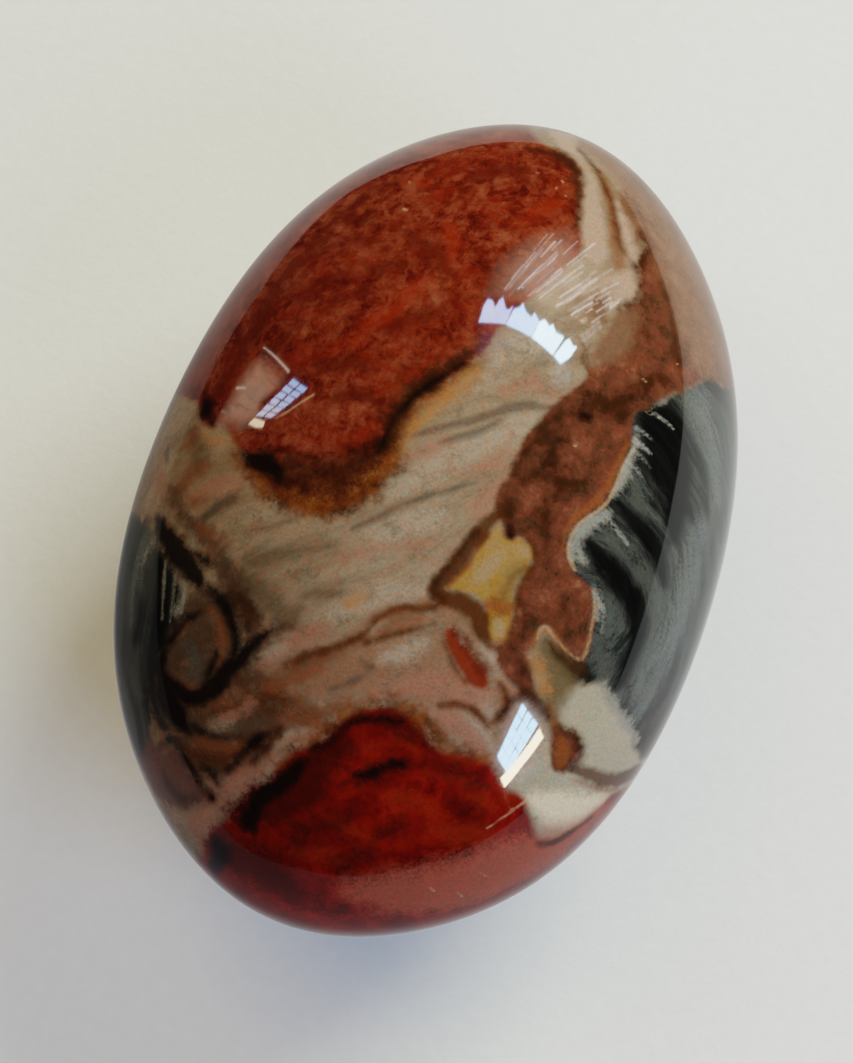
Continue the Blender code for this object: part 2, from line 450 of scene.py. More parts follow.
        "corner of the lower patch": ((504, 792, 5), (514, 798, 9), (520, 800, 6)),
    },
    # Painted reflection: a brighter pinkish sheen along the bottom rim, painted into the stone's colour
    "painted_rim_reflection": {
        "painted reflection along the bottom rim": (
            (350, 890, 16), (400, 892, 40), (456, 888, 56), (512, 872, 60), (566, 850, 48), (612, 826, 24),
        ),
    },
    "amber": {
        "right edge of the tree": (
            (628, 444, 3), (621, 458, 4), (613, 475, 6), (605, 491, 6), (593, 504, 7), (579, 514, 6),
            (569, 526, 5), (564, 540, 3), (564, 556, 3),
        ),
        "left edge of the cell": (
            (448, 586, 5), (460, 574, 5), (470, 562, 5), (478, 548, 5), (488, 534, 5),
        ),
        "neck of the cell": ((488, 605, 8), (500, 607, 12), (512, 608, 9)),
        "ring of the lower lobe": (
            (486, 614, 4), (486, 630, 4), (495, 642, 4), (506, 639, 4), (512, 622, 4),
        ),
        "lower edge of the brown band": ((570, 779, 3), (586, 784, 4), (608, 793, 5), (632, 799, 6)),
        "drop of the tail": ((561, 740, 8), (562, 751, 15), (562, 763, 13)),
        "foot of the tree": (
            (594, 604, 4), (592, 624, 5), (587, 645, 6), (580, 658, 6), (570, 653, 6), (560, 643, 6),
            (549, 630, 6), (540, 632, 6), (534, 646, 6),
        ),
        "edge of the white ground": ((548, 705, 5), (554, 716, 6), (556, 728, 5)),
    },
    "vein": {
        "brown line": (
            (286, 665, 5), (308, 656, 7), (328, 649, 9), (346, 643, 9), (360, 637, 7), (371, 627, 5),
            (379, 618, 5), (391, 611, 6), (406, 607, 7), (422, 609, 7), (434, 607, 7), (446, 599, 8),
        ),
        "second brown line": ((366, 642, 5), (384, 637, 6), (404, 632, 6), (422, 627, 5), (434, 624, 3)),
        "line to the tail": ((440, 706, 4), (456, 704, 6), (470, 708, 8), (480, 716, 8), (488, 727, 6)),
        "loop": ((500, 684, 5), (506, 694, 7), (506, 708, 7), (500, 718, 7), (490, 724, 5)),
        "rim line": ((582, 132, 4), (592, 150, 5), (600, 168, 6)),
        "vein at the upper right": (
            (600, 170, 4), (604, 184, 6), (610, 199, 5), (614, 214, 6), (617, 230, 7), (620, 245, 6),
            (628, 258, 4), (637, 268, 5),
        ),
        "edge of the cell": (
            (505, 512, 8), (494, 519, 12), (483, 529, 16), (473, 541, 18), (464, 554, 18), (454, 566, 18),
            (444, 578, 19), (436, 590, 18), (446, 598, 17), (462, 603, 19), (476, 613, 20), (482, 629, 17),
            (490, 646, 9),
        ),
        "right of the cell": (
            (534, 548, 5), (535, 560, 5), (528, 575, 5), (519, 590, 5), (516, 612, 5), (511, 634, 6),
        ),
        "edge of the strip": ((590, 345, 3), (583, 356, 4), (588, 368, 3)),
        "brown band": ((566, 768, 8), (586, 773, 14), (608, 781, 17), (632, 786, 20), (664, 788, 22)),
        "left of the slug": ((442, 632, 2), (447, 650, 3), (455, 668, 3), (466, 683, 3)),
        "lower edge of the strip": ((580, 338, 2), (586, 352, 3), (588, 366, 3)),
    },
    "garnet": {
        "right side of the slug": ((454, 630, 4), (465, 642, 8), (476, 655, 10), (486, 672, 10)),
        "left rim of the patch": (
            (218, 392, 10), (238, 358, 14), (258, 324, 15), (274, 294, 14), (292, 264, 10),
        ),
        "second rim line": (
            (286, 296, 4), (298, 270, 8), (314, 245, 9), (336, 218, 8), (362, 196, 6), (400, 176, 4),
        ),
        "arc of the swirl": (
            (300, 282, 4), (306, 262, 8), (322, 249, 8), (345, 243, 8), (370, 241, 7), (386, 250, 4),
        ),
        "second arc": ((296, 330, 4), (302, 305, 6), (318, 285, 7), (340, 276, 7), (362, 282, 5)),
        "hollow of the swirl": ((318, 303, 4), (338, 301, 9), (360, 293, 6), (372, 282, 4)),
        "cloud one": ((404, 232, 10), (424, 246, 22), (440, 258, 14), (444, 276, 6)),
        "cloud two": ((368, 268, 8), (388, 270, 14), (404, 262, 8)),
        "cloud three": ((342, 214, 6), (354, 222, 12), (372, 222, 6)),
        "cloud four": ((386, 330, 6), (412, 320, 12), (434, 312, 8), (456, 300, 4)),
        "cloud five": ((470, 180, 6), (500, 172, 14), (530, 176, 12)),
        "cloud six": ((300, 380, 4), (330, 366, 10), (362, 362, 8)),
        "cloud seven": ((480, 256, 4), (494, 276, 10), (488, 300, 8)),
        "cloud eight": ((330, 400, 6), (356, 392, 12), (376, 402, 8)),
        "cloud nine": ((272, 352, 5), (290, 334, 10), (300, 312, 5)),
    },
    "clot": {
        "top edge": ((352, 716, 10), (385, 722, 20), (412, 732, 20), (434, 756, 12)),
        "left bulk": ((250, 812, 38), (275, 800, 48), (300, 788, 48), (322, 768, 36), (342, 746, 30)),
        "bar": ((344, 782, 10), (364, 777, 18), (390, 768, 20), (408, 760, 14)),
        "right part": ((424, 758, 10), (452, 768, 12), (478, 784, 12)),
        "low part": ((298, 834, 20), (328, 824, 18), (350, 812, 12)),
        "left end": ((222, 850, 30), (250, 862, 34), (290, 884, 24)),
        "low cloud": ((340, 860, 8), (356, 857, 13), (374, 853, 8)),
        "middle cloud": ((380, 834, 6), (394, 830, 12), (406, 824, 6)),
        "right cloud": ((448, 802, 6), (462, 812, 12), (480, 818, 8)),
    },
    "smoke": {
        "tip of the upper patch": (
            (400, 424, 16), (388, 446, 36), (366, 468, 52), (334, 484, 58), (300, 484, 54), (268, 470, 38),
        ),
        "right edge of the upper patch": (
            (482, 340, 8), (456, 360, 16), (428, 380, 22), (404, 402, 26), (390, 430, 28),
        ),
        "middle of the tree": (
            (586, 402, 10), (568, 428, 7), (550, 458, 10), (560, 486, 10), (546, 518, 10),
        ),
        "ground over the tree": ((650, 380, 16), (624, 402, 20), (596, 404, 16)),
    },
    "dusk": {
        "inside the right edge": (
            (482, 344, 6), (456, 364, 12), (430, 383, 15), (408, 403, 15), (393, 426, 13), (384, 448, 10),
        ),
        "right edge of the patch": (
            (528, 146, 5), (550, 149, 10), (568, 157, 16), (577, 178, 13), (578, 204, 8), (576, 226, 4),
        ),
        "tree one": ((572, 414, 6), (585, 414, 14), (596, 402, 8), (600, 392, 4)),
        "tree two": ((556, 484, 5), (568, 484, 10), (584, 482, 7)),
        "tree three": ((546, 500, 6), (545, 520, 10), (546, 542, 8), (540, 552, 4)),
        "tree four": ((514, 472, 5), (522, 456, 7), (534, 444, 6), (548, 434, 6), (560, 428, 5)),
        "tree five": ((556, 470, 5), (553, 450, 7), (562, 438, 5)),
        "tree six": ((604, 406, 5), (618, 416, 11), (630, 412, 6)),
        "tree seven": ((562, 596, 5), (564, 614, 8), (569, 632, 5)),
        "tree eight": ((524, 482, 7), (538, 474, 12), (546, 482, 6)),
        "tree nine": ((522, 604, 5), (525, 622, 8), (522, 640, 6)),
        "tree ten": ((560, 414, 6), (548, 424, 8), (540, 432, 4)),
        "knob in the cell": ((509, 502, 8), (510, 516, 12), (510, 530, 12)),
        "left edge of the cell": (
            (478, 530, 4), (462, 550, 7), (448, 568, 8), (434, 588, 9), (442, 598, 6),
        ),
        "tail": ((512, 645, 8), (520, 658, 10), (524, 672, 8)),
        "spots of the notch": ((548, 642, 4), (557, 654, 7), (569, 664, 9), (582, 674, 7)),
        "tail's neck": ((524, 690, 7), (538, 704, 9), (550, 718, 8)),
        "head of the tail": ((558, 726, 6), (572, 730, 6), (580, 741, 6), (580, 756, 6), (573, 768, 4)),
        "edge of the upper lobe": (
            (636, 264, 4), (639, 278, 4), (640, 290, 4), (632, 302, 6), (620, 306, 5),
        ),
        "right of the vein": ((640, 232, 4), (647, 246, 9), (642, 262, 8)),
        "right rim of the ground": ((660, 282, 4), (668, 305, 6), (674, 332, 6), (678, 362, 5)),
        "cloud over the tree": ((642, 333, 5), (650, 338, 6)),
        "second cloud over the tree": ((640, 384, 6), (654, 378, 9), (668, 380, 7)),
        "third cloud over the tree": ((600, 398, 8), (612, 402, 9), (626, 400, 5)),
        "below the window": ((500, 716, 6), (520, 698, 10), (540, 704, 8)),
        "left of the band": ((238, 600, 16), (250, 612, 20), (248, 630, 14)),
        "by the lower curls": ((252, 762, 6), (262, 752, 8), (272, 742, 8), (278, 728, 8)),
        "low in the wine": ((196, 800, 6), (176, 796, 10), (160, 776, 8)),
    },
    "shade": {
        "black mass at the left": ((246, 455, 8), (256, 461, 17), (270, 466, 22), (280, 478, 12)),
        "end at the rim": ((206, 398, 10), (207, 411, 17), (210, 420, 9)),
        "edge of the upper patch": (
            (466, 362, 2), (450, 372, 5), (432, 383, 7), (415, 396, 7), (402, 409, 6), (391, 424, 6),
            (384, 440, 6), (378, 454, 3),
        ),
        "left end of the lower patch": ((214, 840, 12), (222, 854, 20), (216, 866, 18), (200, 880, 18)),
        "lower patch, left mass": (
            (244, 808, 10), (252, 816, 18), (258, 800, 20), (280, 785, 18), (298, 768, 16), (306, 760, 8),
        ),
        "lower patch, hook": ((244, 820, 12), (254, 830, 8)),
        "lower patch, top edge": (
            (310, 750, 5), (328, 744, 7), (344, 728, 9), (362, 720, 9), (385, 720, 9), (402, 722, 6),
        ),
        "lower patch, bar": ((354, 776, 7), (366, 775, 11), (382, 768, 9), (402, 764, 9)),
        "black stroke at the left": (
            (158, 520, 12), (166, 534, 20), (176, 550, 24), (187, 565, 24), (197, 577, 17), (205, 586, 9),
        ),
        "its branch": ((186, 550, 6), (198, 556, 9), (208, 565, 8)),
        "top of the oval": (
            (203, 584, 6), (214, 593, 12), (225, 605, 13), (231, 620, 13), (235, 640, 11), (234, 655, 12),
        ),
        "foot of the oval": (
            (234, 655, 11), (227, 670, 17), (215, 685, 22), (200, 697, 20), (184, 696, 18), (171, 686, 20),
        ),
        "left of the oval": (
            (170, 690, 16), (161, 672, 12), (164, 652, 8), (176, 634, 8), (188, 619, 9), (200, 612, 4),
        ),
        "line inside the oval": ((217, 652, 4), (213, 664, 6), (208, 676, 7)),
        "line from the oval": (
            (276, 628, 4), (264, 635, 8), (254, 645, 11), (244, 656, 15), (233, 668, 16),
        ),
        "root below the oval": (
            (160, 668, 12), (164, 690, 20), (172, 708, 24), (182, 722, 18), (190, 732, 8),
        ),
        "spur of the root": ((192, 726, 8), (208, 734, 6), (226, 738, 5), (240, 736, 3)),
        "bead of the curls": ((246, 750, 8), (254, 741, 12), (266, 735, 8)),
        "tail of the bead": ((244, 752, 6), (236, 762, 6), (228, 770, 5)),
        "lower curl": ((179, 748, 4), (186, 760, 5), (194, 774, 6), (204, 788, 7), (212, 798, 5)),
        "second curl": ((200, 767, 4), (210, 772, 7), (218, 784, 5)),
        "blue curl": ((170, 740, 7), (176, 742, 6)),
        "knob in the cell": ((510, 526, 4), (510, 535, 8)),
        "tree": ((580, 414, 4), (588, 418, 6)),
        "lower rim line": ((540, 843, 4), (560, 842, 7), (582, 834, 6), (600, 826, 4)),
        "root in the slate": ((152, 690, 6), (156, 710, 8), (166, 726, 8)),
    },
    # Thin pale-tan lines of the stone, and a painted glint beside the tail's head
    "pale_line_and_painted_glint": {
        "edge of the tree": (
            (634, 448, 2), (626, 462, 2.5), (619, 478, 2.5), (612, 494, 2.5), (603, 507, 3), (589, 517, 3),
            (577, 527, 3), (570, 540, 3.5), (569, 556, 4), (575, 570, 3),
        ),
        "lower edge of the tree": (
            (593, 590, 2), (595, 606, 2.5), (592, 624, 2), (589, 642, 2), (583, 658, 2.5), (574, 657, 2),
            (564, 648, 1.5), (555, 638, 2), (547, 628, 3), (541, 629, 3), (537, 640, 2),
        ),
        # Painted glint: a pale pink highlight beside the tail's head, painted into the stone's colour
        "painted glint beside the head": ((548, 744, 4), (545, 754, 6), (549, 764, 4)),
    },
    "spark": {
        "scratch": ((486, 829, 1.5), (508, 814, 2), (528, 799, 2)),
        "short scratch": ((505, 791, 1), (510, 812, 1.5)),
        "fleck one": ((403, 209, 2), (407, 210, 2)),
        "fleck two": ((537, 173, 2), (538, 173, 2)),
        "fleck three": ((562, 181, 2), (563, 182, 2)),
        "fleck four": ((556, 188, 2), (557, 188, 2)),
        "fleck five": ((566, 196, 2), (567, 196, 2)),
        "fleck six": ((574, 445, 2), (576, 446, 2)),
        "fleck seven": ((643, 379, 2), (646, 382, 2)),
        "fleck eight": ((430, 888, 2), (434, 891, 2)),
        "fleck nine": ((458, 893, 2), (464, 898, 2)),
        "fleck ten": ((480, 873, 1.5), (487, 877, 2)),
        "fleck eleven": ((573, 817, 3), (574, 819, 3)),
        "fleck twelve": ((676, 363, 2), (677, 364, 2)),
        "fleck thirteen": ((409, 182, 1.5), (411, 183, 1.5)),
    },
}


def camera_axes():
    """The camera's right, up and backward directions."""
    turn, rise = CAMERA_TURN, CAMERA_RISE
    back = np.array([math.sin(turn) * math.cos(rise), -math.cos(turn) * math.cos(rise), math.sin(rise)])
    right = np.array([math.cos(turn), math.sin(turn), 0.0])
    return right, np.cross(back, right), back


RIGHT, UP, BACK = camera_axes()
AIM = MIDDLE + AIM_RIGHT * RIGHT + AIM_UP * UP
CAMERA_PLACE = AIM + CAMERA_DISTANCE * BACK
FOCAL_PIXELS = CAMERA_LENS / CAMERA_SENSOR * PHOTO_HEIGHT


def make_camera():
    data = bpy.data.cameras.new("photo_camera")
    data.lens = CAMERA_LENS
    data.sensor_width = CAMERA_SENSOR
    data.sensor_fit = "VERTICAL"
    data.sensor_height = CAMERA_SENSOR
    data.clip_start = NEAREST_SEEN
    data.clip_end = FARTHEST_SEEN
    camera = bpy.data.objects.new("photo_camera", data)
    turned = Matrix((RIGHT, UP, BACK)).transposed().to_4x4()
    camera.matrix_world = Matrix.Translation(Vector(CAMERA_PLACE)) @ turned
    bpy.context.scene.collection.objects.link(camera)
    bpy.context.scene.camera = camera


def photo_place(points):
    """Where points of the stone lie in the photographed frame, in its pixels, across and down."""
    away = points - CAMERA_PLACE
    scale = FOCAL_PIXELS / -(away @ BACK)
    across = PHOTO_WIDTH / 2 + scale * (away @ RIGHT)
    down = PHOTO_HEIGHT / 2 - scale * (away @ UP)
    return np.stack([across, down], axis=1)


def on_form(directions):
    """Points of the stone's surface for unit directions from its middle."""
    x, y, z = directions.T
    turn = np.arctan2(y, x)
    lobes = sum(
        height * np.cos(count * (turn - math.radians(towards)))
        for count, height, towards in PLAN_LOBES
    )
    factor = 1 + lobes * (1 - z**2)
    cut = 2 * FLAT_DEPTH / (SIZE[2] + FLAT_DEPTH) - 1
    ball = np.stack([x * factor, y * factor, np.maximum(z, cut)], axis=1)
    low, high = ball.min(axis=0), ball.max(axis=0)
    return LOW + (ball - low) / (high - low) * SIZE


def cube_directions(mesh):
    """Unit directions for the points of a finely divided cube, crowded towards the camera."""
    points = np.array([vertex.co for vertex in mesh.verts])
    points = np.tan(points * math.pi / 4)
    directions = points / np.linalg.norm(points, axis=1, keepdims=True)
    away = np.arccos(np.clip(directions[:, 2], -1, 1))
    nearer = away - CROWDING * np.sin(away)
    level = directions[:, :2]
    flat = level / np.maximum(np.linalg.norm(level, axis=1, keepdims=True), TINY)
    return np.column_stack([flat * np.sin(nearer)[:, None], np.cos(nearer)])


def stone_mesh():
    mesh = bmesh.new()
    bmesh.ops.create_cube(mesh, size=2)
    bmesh.ops.subdivide_edges(mesh, edges=mesh.edges[:], cuts=GRID - 1, use_grid_fill=True)
    points = on_form(cube_directions(mesh))
    for vertex, point in zip(mesh.verts, points):
        vertex.co = point
    data = bpy.data.meshes.new("polished_stone")
    mesh.to_mesh(data)
    mesh.free()
    data.shade_smooth()
    return data, points


# A smooth random field adds up this many waves, whose lengths are from and to these multiples of its size
WAVE_COUNT = 7
WAVE_LENGTHS = (1.4, 2.8)


def waves(points, size, seed):
    """A smooth random field from about -1 to 1 over points in space, with features of the given size."""
    chance = np.random.default_rng(seed)
    ways = chance.normal(size=(WAVE_COUNT, 3))
    ways /= np.linalg.norm(ways, axis=1, keepdims=True)
    lengths = size * chance.uniform(*WAVE_LENGTHS, WAVE_COUNT)
    phases = chance.uniform(0, 2 * math.pi, WAVE_COUNT)
    total = sum(
        np.sin(points @ way * 2 * math.pi / length + phase)
        for way, length, phase in zip(ways, lengths, phases)
    )
    return total / math.sqrt(WAVE_COUNT)


def smooth_line(points, closed=False, steps=4):
    """A smooth curve through the points, as more points."""
    points = np.array(points, float)
    if closed:
        padded = np.vstack([points[-1], points, points[:2]])
    else:
        padded = np.vstack([2 * points[0] - points[1], points, 2 * points[-1] - points[-2]])
    pieces = []
    for before, start, end, after in zip(padded, padded[1:], padded[2:], padded[3:]):
        for t in np.arange(steps) / steps:
            pieces.append(
                0.5 * (2 * start + (end - before) * t + (2 * before - 5 * start + 4 * end - after) * t**2
                       + (3 * start - before - 3 * end + after) * t**3)
            )
    return np.array(pieces if closed else pieces + [points[-1]])


def near(places, line, margin):
    """Which places lie in the box around a line, widened by a margin."""
    low = line[:, :2].min(axis=0) - margin
    high = line[:, :2].max(axis=0) + margin
    return ((places > low) & (places < high)).all(axis=1)


def gap_to(spots, start, end):
    """How far each spot is from a straight line, and the share of the way along it where it is nearest."""
    along = end - start
    share = np.clip((spots - start) @ along / max(along @ along, TINY), 0, 1)
    return np.linalg.norm(spots - start - share[:, None] * along, axis=1), share


def stroke_depth(places, stroke):
    """How deep each place is inside a stroke of varying width, in pixels, and below zero outside it."""
    line = smooth_line(stroke)
    depth = np.full(len(places), -REACH)
    inside = near(places, line, REACH)
    spots = places[inside]
    best = depth[inside]
    for start, end in zip(line, line[1:]):
        gap, share = gap_to(spots, start[:2], end[:2])
        best = np.maximum(best, (start[2] + share * (end[2] - start[2])) / 2 - gap)
    depth[inside] = best
    return depth


def area_depth(places, outline):
    """How deep each place is inside an outline, in pixels, and below zero outside it."""
    line = smooth_line(outline, closed=True)
    depth = np.full(len(places), -REACH)
    inside = near(places, line, REACH)
    spots = places[inside]
    nearest = -depth[inside]
    within = np.zeros(len(spots), bool)
    for start, end in zip(line, np.roll(line, -1, axis=0)):
        gap, _ = gap_to(spots, start, end)
        nearest = np.minimum(nearest, gap)
        crosses = (start[1] > spots[:, 1]) != (end[1] > spots[:, 1])
        if crosses.any():
            lean = (end[0] - start[0]) / (end[1] - start[1])
            within ^= crosses & (spots[:, 0] < start[0] + (spots[:, 1] - start[1]) * lean)
    depth[inside] = np.where(within, nearest, -nearest)
    return depth


def pattern_places(points, normals):
    """Where each point reads the drawn pattern, and its angle from the camera."""
    view = CAMERA_PLACE - points
    view /= np.linalg.norm(view, axis=1, keepdims=True)
    angle = np.arccos(np.clip((view * normals).sum(axis=1), -1, 1))
    past = np.maximum(angle - UNROLL_FROM, 0)
    unrolled = UNROLL_RADIUS * (past - np.sin(UNROLL_FROM + past) + math.sin(UNROLL_FROM))
    outward = np.stack([normals @ RIGHT, -(normals @ UP)], axis=1)
    outward /= np.maximum(np.linalg.norm(outward, axis=1, keepdims=True), TINY)
    return photo_place(points) + outward * unrolled[:, None], angle


# Patches of the far side, where nothing is drawn: how steeply the depth of the marking rises, in pixels, the
# size of its waves in metres, their seed, and the level that it rises from
FAR_PATCHES = {
    "olive": (45, 0.007, 10, 0.5),
    "umber": (45, 0.008, 9, 0.8),
    "light": (45, 0.006, 13, 0.5),
    "pink": (45, 0.006, 11, 0.5),
    "rust": (45, 0.005, 15, 0.8),
    "pale": (50, 0.010, 14, 0.8),
    "slate": (60, 0.013, 8, 0.30),
    "brown": (60, 0.011, 5, 0.35),
    "yellow": (60, 0.008, 21, 1.0),
    "red": (60, 0.012, 3, 0.15),
}

# Finer waves on those, for outlines that wander: their strength, how much finer they are, and what is added
# to the seed for them
FINE_SHARE = 0.35
FINE_RATIO = 2.6
FINE_SEED = 40

# Marks inside those patches: the patch, how far from its edge they keep, and then as above
FAR_MARKS = {
    "moss": ("slate", 4, 30, 0.005, 18, 0.1),
    "ink": ("slate", 3, 30, 0.005, 17, 0.2),
    "frost": ("slate", 4, 30, 0.003, 16, 0.9),
    "fire": ("red", 12, 30, 0.004, 24, 0.8),
}

# Lines on the far side, where a wave passes zero: half their width in pixels, and then as above
FAR_LINES = {
    "grey": (4, 70, 0.009, 12),
    "vein": (2, 60, 0.012, 23),
}

# Borders inside its red patches: half their width, and how deep they lie. The fringe reaches this far past
# the patches.
FAR_BORDERS = {
    "dusk": (9, 10),
    "shade": (4, 5),
}
FAR_FRINGE = 9


def hidden_fields(points):
    """Depths of the main markings for the side away from the camera, where nothing is drawn."""
    fields = {}
    for kind, (rise, size, seed, level) in FAR_PATCHES.items():
        finer = waves(points, size / FINE_RATIO, seed + FINE_SEED)
        fields[kind] = rise * (waves(points, size, seed) + FINE_SHARE * finer - level)
    for kind, (patch, inset, rise, size, seed, level) in FAR_MARKS.items():
        fields[kind] = np.minimum(fields[patch] - inset, rise * (waves(points, size, seed) - level))
    for kind, (half, rise, size, seed) in FAR_LINES.items():
        fields[kind] = half - rise * np.abs(waves(points, size, seed))
    for kind, (half, inset) in FAR_BORDERS.items():
        fields[kind] = half - np.abs(fields["red"] - inset)
    fields["ochre"] = fields["red"] + FAR_FRINGE
    return fields


def marking_fields(points, normals):
    """The depth of every point inside each kind of marking, drawn in front and random behind."""
    places, angle = pattern_places(points, normals)
    share = np.clip((angle - HIDDEN_FROM) / (HIDDEN_TO - HIDDEN_FROM), 0, 1)
    share = share**2 * (3 - 2 * share)
    hidden = hidden_fields(points)
    fields = {}
    for kind, *_ in WASHES + LAYERS:
        drawn = np.full(len(points), -REACH)
        for outline in AREAS.get(kind, {}).values():
            drawn = np.maximum(drawn, area_depth(places, outline))
        for stroke in STROKES.get(kind, {}).values():
            drawn = np.maximum(drawn, stroke_depth(places, stroke))
        behind = np.clip(hidden.get(kind, -REACH), -REACH, REACH)
        fields[kind] = drawn * (1 - share) + behind * share
    return fields


# Grain that runs one way: how steeply it rises to the right in the photograph, how much longer than wide it
# is, and how far, in millimetres, broad and narrow waves bend it. Below the surface it is this much deeper
# than wide.
GRAINS = {
    "flow": (math.radians(23), 7.0, 0.9, 0.35),
    "swirl": (math.radians(47), 2.4, 2.4, 0.6),
}
GRAIN_DEPTH = 2.0

# The brush marks of the slate zones curve around this pixel. Their noise changes by this much around it, for
# one in every millimetre outwards. Waves bend them by this many millimetres, and they run outwards by this
# share of their depth.
BRUSH_CENTRE = (560, 620)
BRUSH_AROUND = 2.0
BRUSH_BENT = 0.5
BRUSH_LEAN = 0.7

# Those waves: their size in metres and their seed
BROAD_BEND = (0.008, 31)
NARROW_BEND = (0.003, 32)
BRUSH_BEND = (0.004, 33)


def grain_places(points, rise, stretch, broad, narrow):
    """Points in millimetres, turned and squeezed so that noise on them comes out as long grain."""
    mm = (points - MIDDLE) * 1000
    along = mm @ (math.cos(rise) * RIGHT + math.sin(rise) * UP)
    across = mm @ (math.cos(rise) * UP - math.sin(rise) * RIGHT)
    bend = broad * waves(points, *BROAD_BEND) + narrow * waves(points, *NARROW_BEND)
    return np.stack([along / stretch, across + bend, (mm @ BACK) / GRAIN_DEPTH], axis=1)


def brush_places(points):
    """Points as distance and direction from the centre of the brush marks, for noise along their arcs."""
    mm = (points - MIDDLE) * 1000
    centre = (np.array(BRUSH_CENTRE) - (PHOTO_WIDTH / 2, PHOTO_HEIGHT / 2)) / PIXELS_PER_MM
    across = mm @ RIGHT - centre[0]
    up = mm @ UP + centre[1]
    radius = np.hypot(across, up)
    around = np.stack([across, up], axis=1) / np.maximum(radius, TINY)[:, None] * BRUSH_AROUND
    outward = radius + BRUSH_BENT * waves(points, *BRUSH_BEND) - BRUSH_LEAN * (mm @ BACK)
    return np.column_stack([outward, around])


def add_attribute(data, name, values):
    if values.ndim == 1:
        attribute = data.attributes.new(name, "FLOAT", "POINT")
        attribute.data.foreach_set("value", values.astype(np.float32))
    else:
        attribute = data.attributes.new(name, "FLOAT_VECTOR", "POINT")
        attribute.data.foreach_set("vector", values.astype(np.float32).ravel())


# Colours of the stone in linear RGB. A mottled marking runs through several. It starts with the noise that
# mottles it, and each of its colours has its place in that noise.
MOTTLES = {
    "cream": (
        "streaks",
        (0.30, (0.098, 0.060, 0.034)), (0.42, (0.138, 0.088, 0.053)), (0.52, (0.172, 0.112, 0.069)),
        (0.62, (0.192, 0.128, 0.082)), (0.75, (0.218, 0.152, 0.104)),
    ),
    "slate": (
        "brushed",
        (0.34, (0.0012, 0.0012, 0.0010)), (0.44, (0.0070, 0.0070, 0.0060)), (0.52, (0.0170, 0.0175, 0.0150)),
        (0.62, (0.0310, 0.0325, 0.0280)), (0.72, (0.0480, 0.0500, 0.0440)),
    ),
    "brown": (
        "blotches",
        (0.32, (0.019, 0.0085, 0.0034)), (0.42, (0.044, 0.0145, 0.0060)), (0.50, (0.068, 0.0180, 0.0082)),
        (0.58, (0.092, 0.0250, 0.0120)), (0.66, (0.125, 0.0420, 0.0210)), (0.76, (0.160, 0.0680, 0.0370)),
    ),
    "yellow": (
        "blotches",
        (0.34, (0.140, 0.050, 0.008)), (0.45, (0.195, 0.085, 0.015)), (0.55, (0.215, 0.104, 0.022)),
        (0.68, (0.195, 0.108, 0.042)),
    ),
    "red": (
        "marbling",
        (0.33, (0.032, 0.0020, 0.0004)), (0.43, (0.062, 0.0052, 0.0012)), (0.50, (0.092, 0.0120, 0.0036)),
        (0.58, (0.122, 0.0215, 0.0085)), (0.69, (0.160, 0.0360, 0.0170)),
    ),
    "smoke": (
        "blotches",
        (0.38, (0.0060, 0.0012, 0.0004)), (0.48, (0.0150, 0.0036, 0.0009)), (0.57, (0.0280, 0.0075, 0.0018)),
        (0.68, (0.0600, 0.0180, 0.0040)),
    ),
    "ochre": (
        "blotches",
        (0.37, (0.028, 0.0065, 0.0008)), (0.48, (0.074, 0.0170, 0.0022)), (0.58, (0.115, 0.0300, 0.0045)),
        (0.70, (0.200, 0.0700, 0.0160)),
    ),
    "sand": (
        "clouds",
        (0.36, (0.080, 0.033, 0.016)), (0.50, (0.114, 0.049, 0.0235)), (0.64, (0.148, 0.067, 0.033)),
    ),
    "crimson": (
        "clouds",
        (0.34, (0.036, 0.0006, 0.0002)), (0.43, (0.070, 0.0012, 0.0002)), (0.51, (0.105, 0.0022, 0.0003)),
        (0.60, (0.140, 0.0040, 0.0004)), (0.70, (0.185, 0.0080, 0.0008)),
    ),
}
PLAIN = {
    "olive": (0.050, 0.030, 0.014),
    "umber": (0.026, 0.0098, 0.0038),
    "tan": (0.145, 0.063, 0.033),
    "light": (0.232, 0.165, 0.115),
    "pink": (0.205, 0.080, 0.050),
    "rust": (0.115, 0.034, 0.012),
    "grey": (0.030, 0.023, 0.018),
    "honey": (0.240, 0.092, 0.026),
    "pale": (0.265, 0.222, 0.145),
    # white stone with a painted reflection on it
    "white_with_painted_sheen": (0.620, 0.470, 0.290),
    "shell": (0.270, 0.165, 0.118),
    "wine": (0.058, 0.017, 0.012),
    "moss": (0.043, 0.0455, 0.0375),
    "haze": (0.075, 0.080, 0.073),
    "ink": (0.0008, 0.0008, 0.0007),
    "frost": (0.175, 0.162, 0.132),
    "thread": (0.190, 0.180, 0.155),
    "bark": (0.088, 0.037, 0.018),
    "tarnish": (0.066, 0.042, 0.016),
    "milk": (0.205, 0.128, 0.066),
    "blaze": (0.110, 0.0110, 0.0026),
    # colour of the painted reflection along the bottom rim
    "painted_rim_reflection": (0.250, 0.050, 0.024),
    "fire": (0.150, 0.0100, 0.0012),
    "amber": (0.130, 0.034, 0.009),
    "vein": (0.040, 0.0098, 0.0012),
    "garnet": (0.046, 0.0038, 0.0006),
    "clot": (0.026, 0.0013, 0.0004),
    "sienna": (0.044, 0.0125, 0.0022),
    "dusk": (0.018, 0.0052, 0.0012),
    "shade": (0.0025, 0.0008, 0.0004),
    # pale-tan lines of the stone, and also the painted glint beside the tail's head
    "pale_line_and_painted_glint": (0.300, 0.190, 0.100),
    "spark": (0.450, 0.250, 0.150),
}

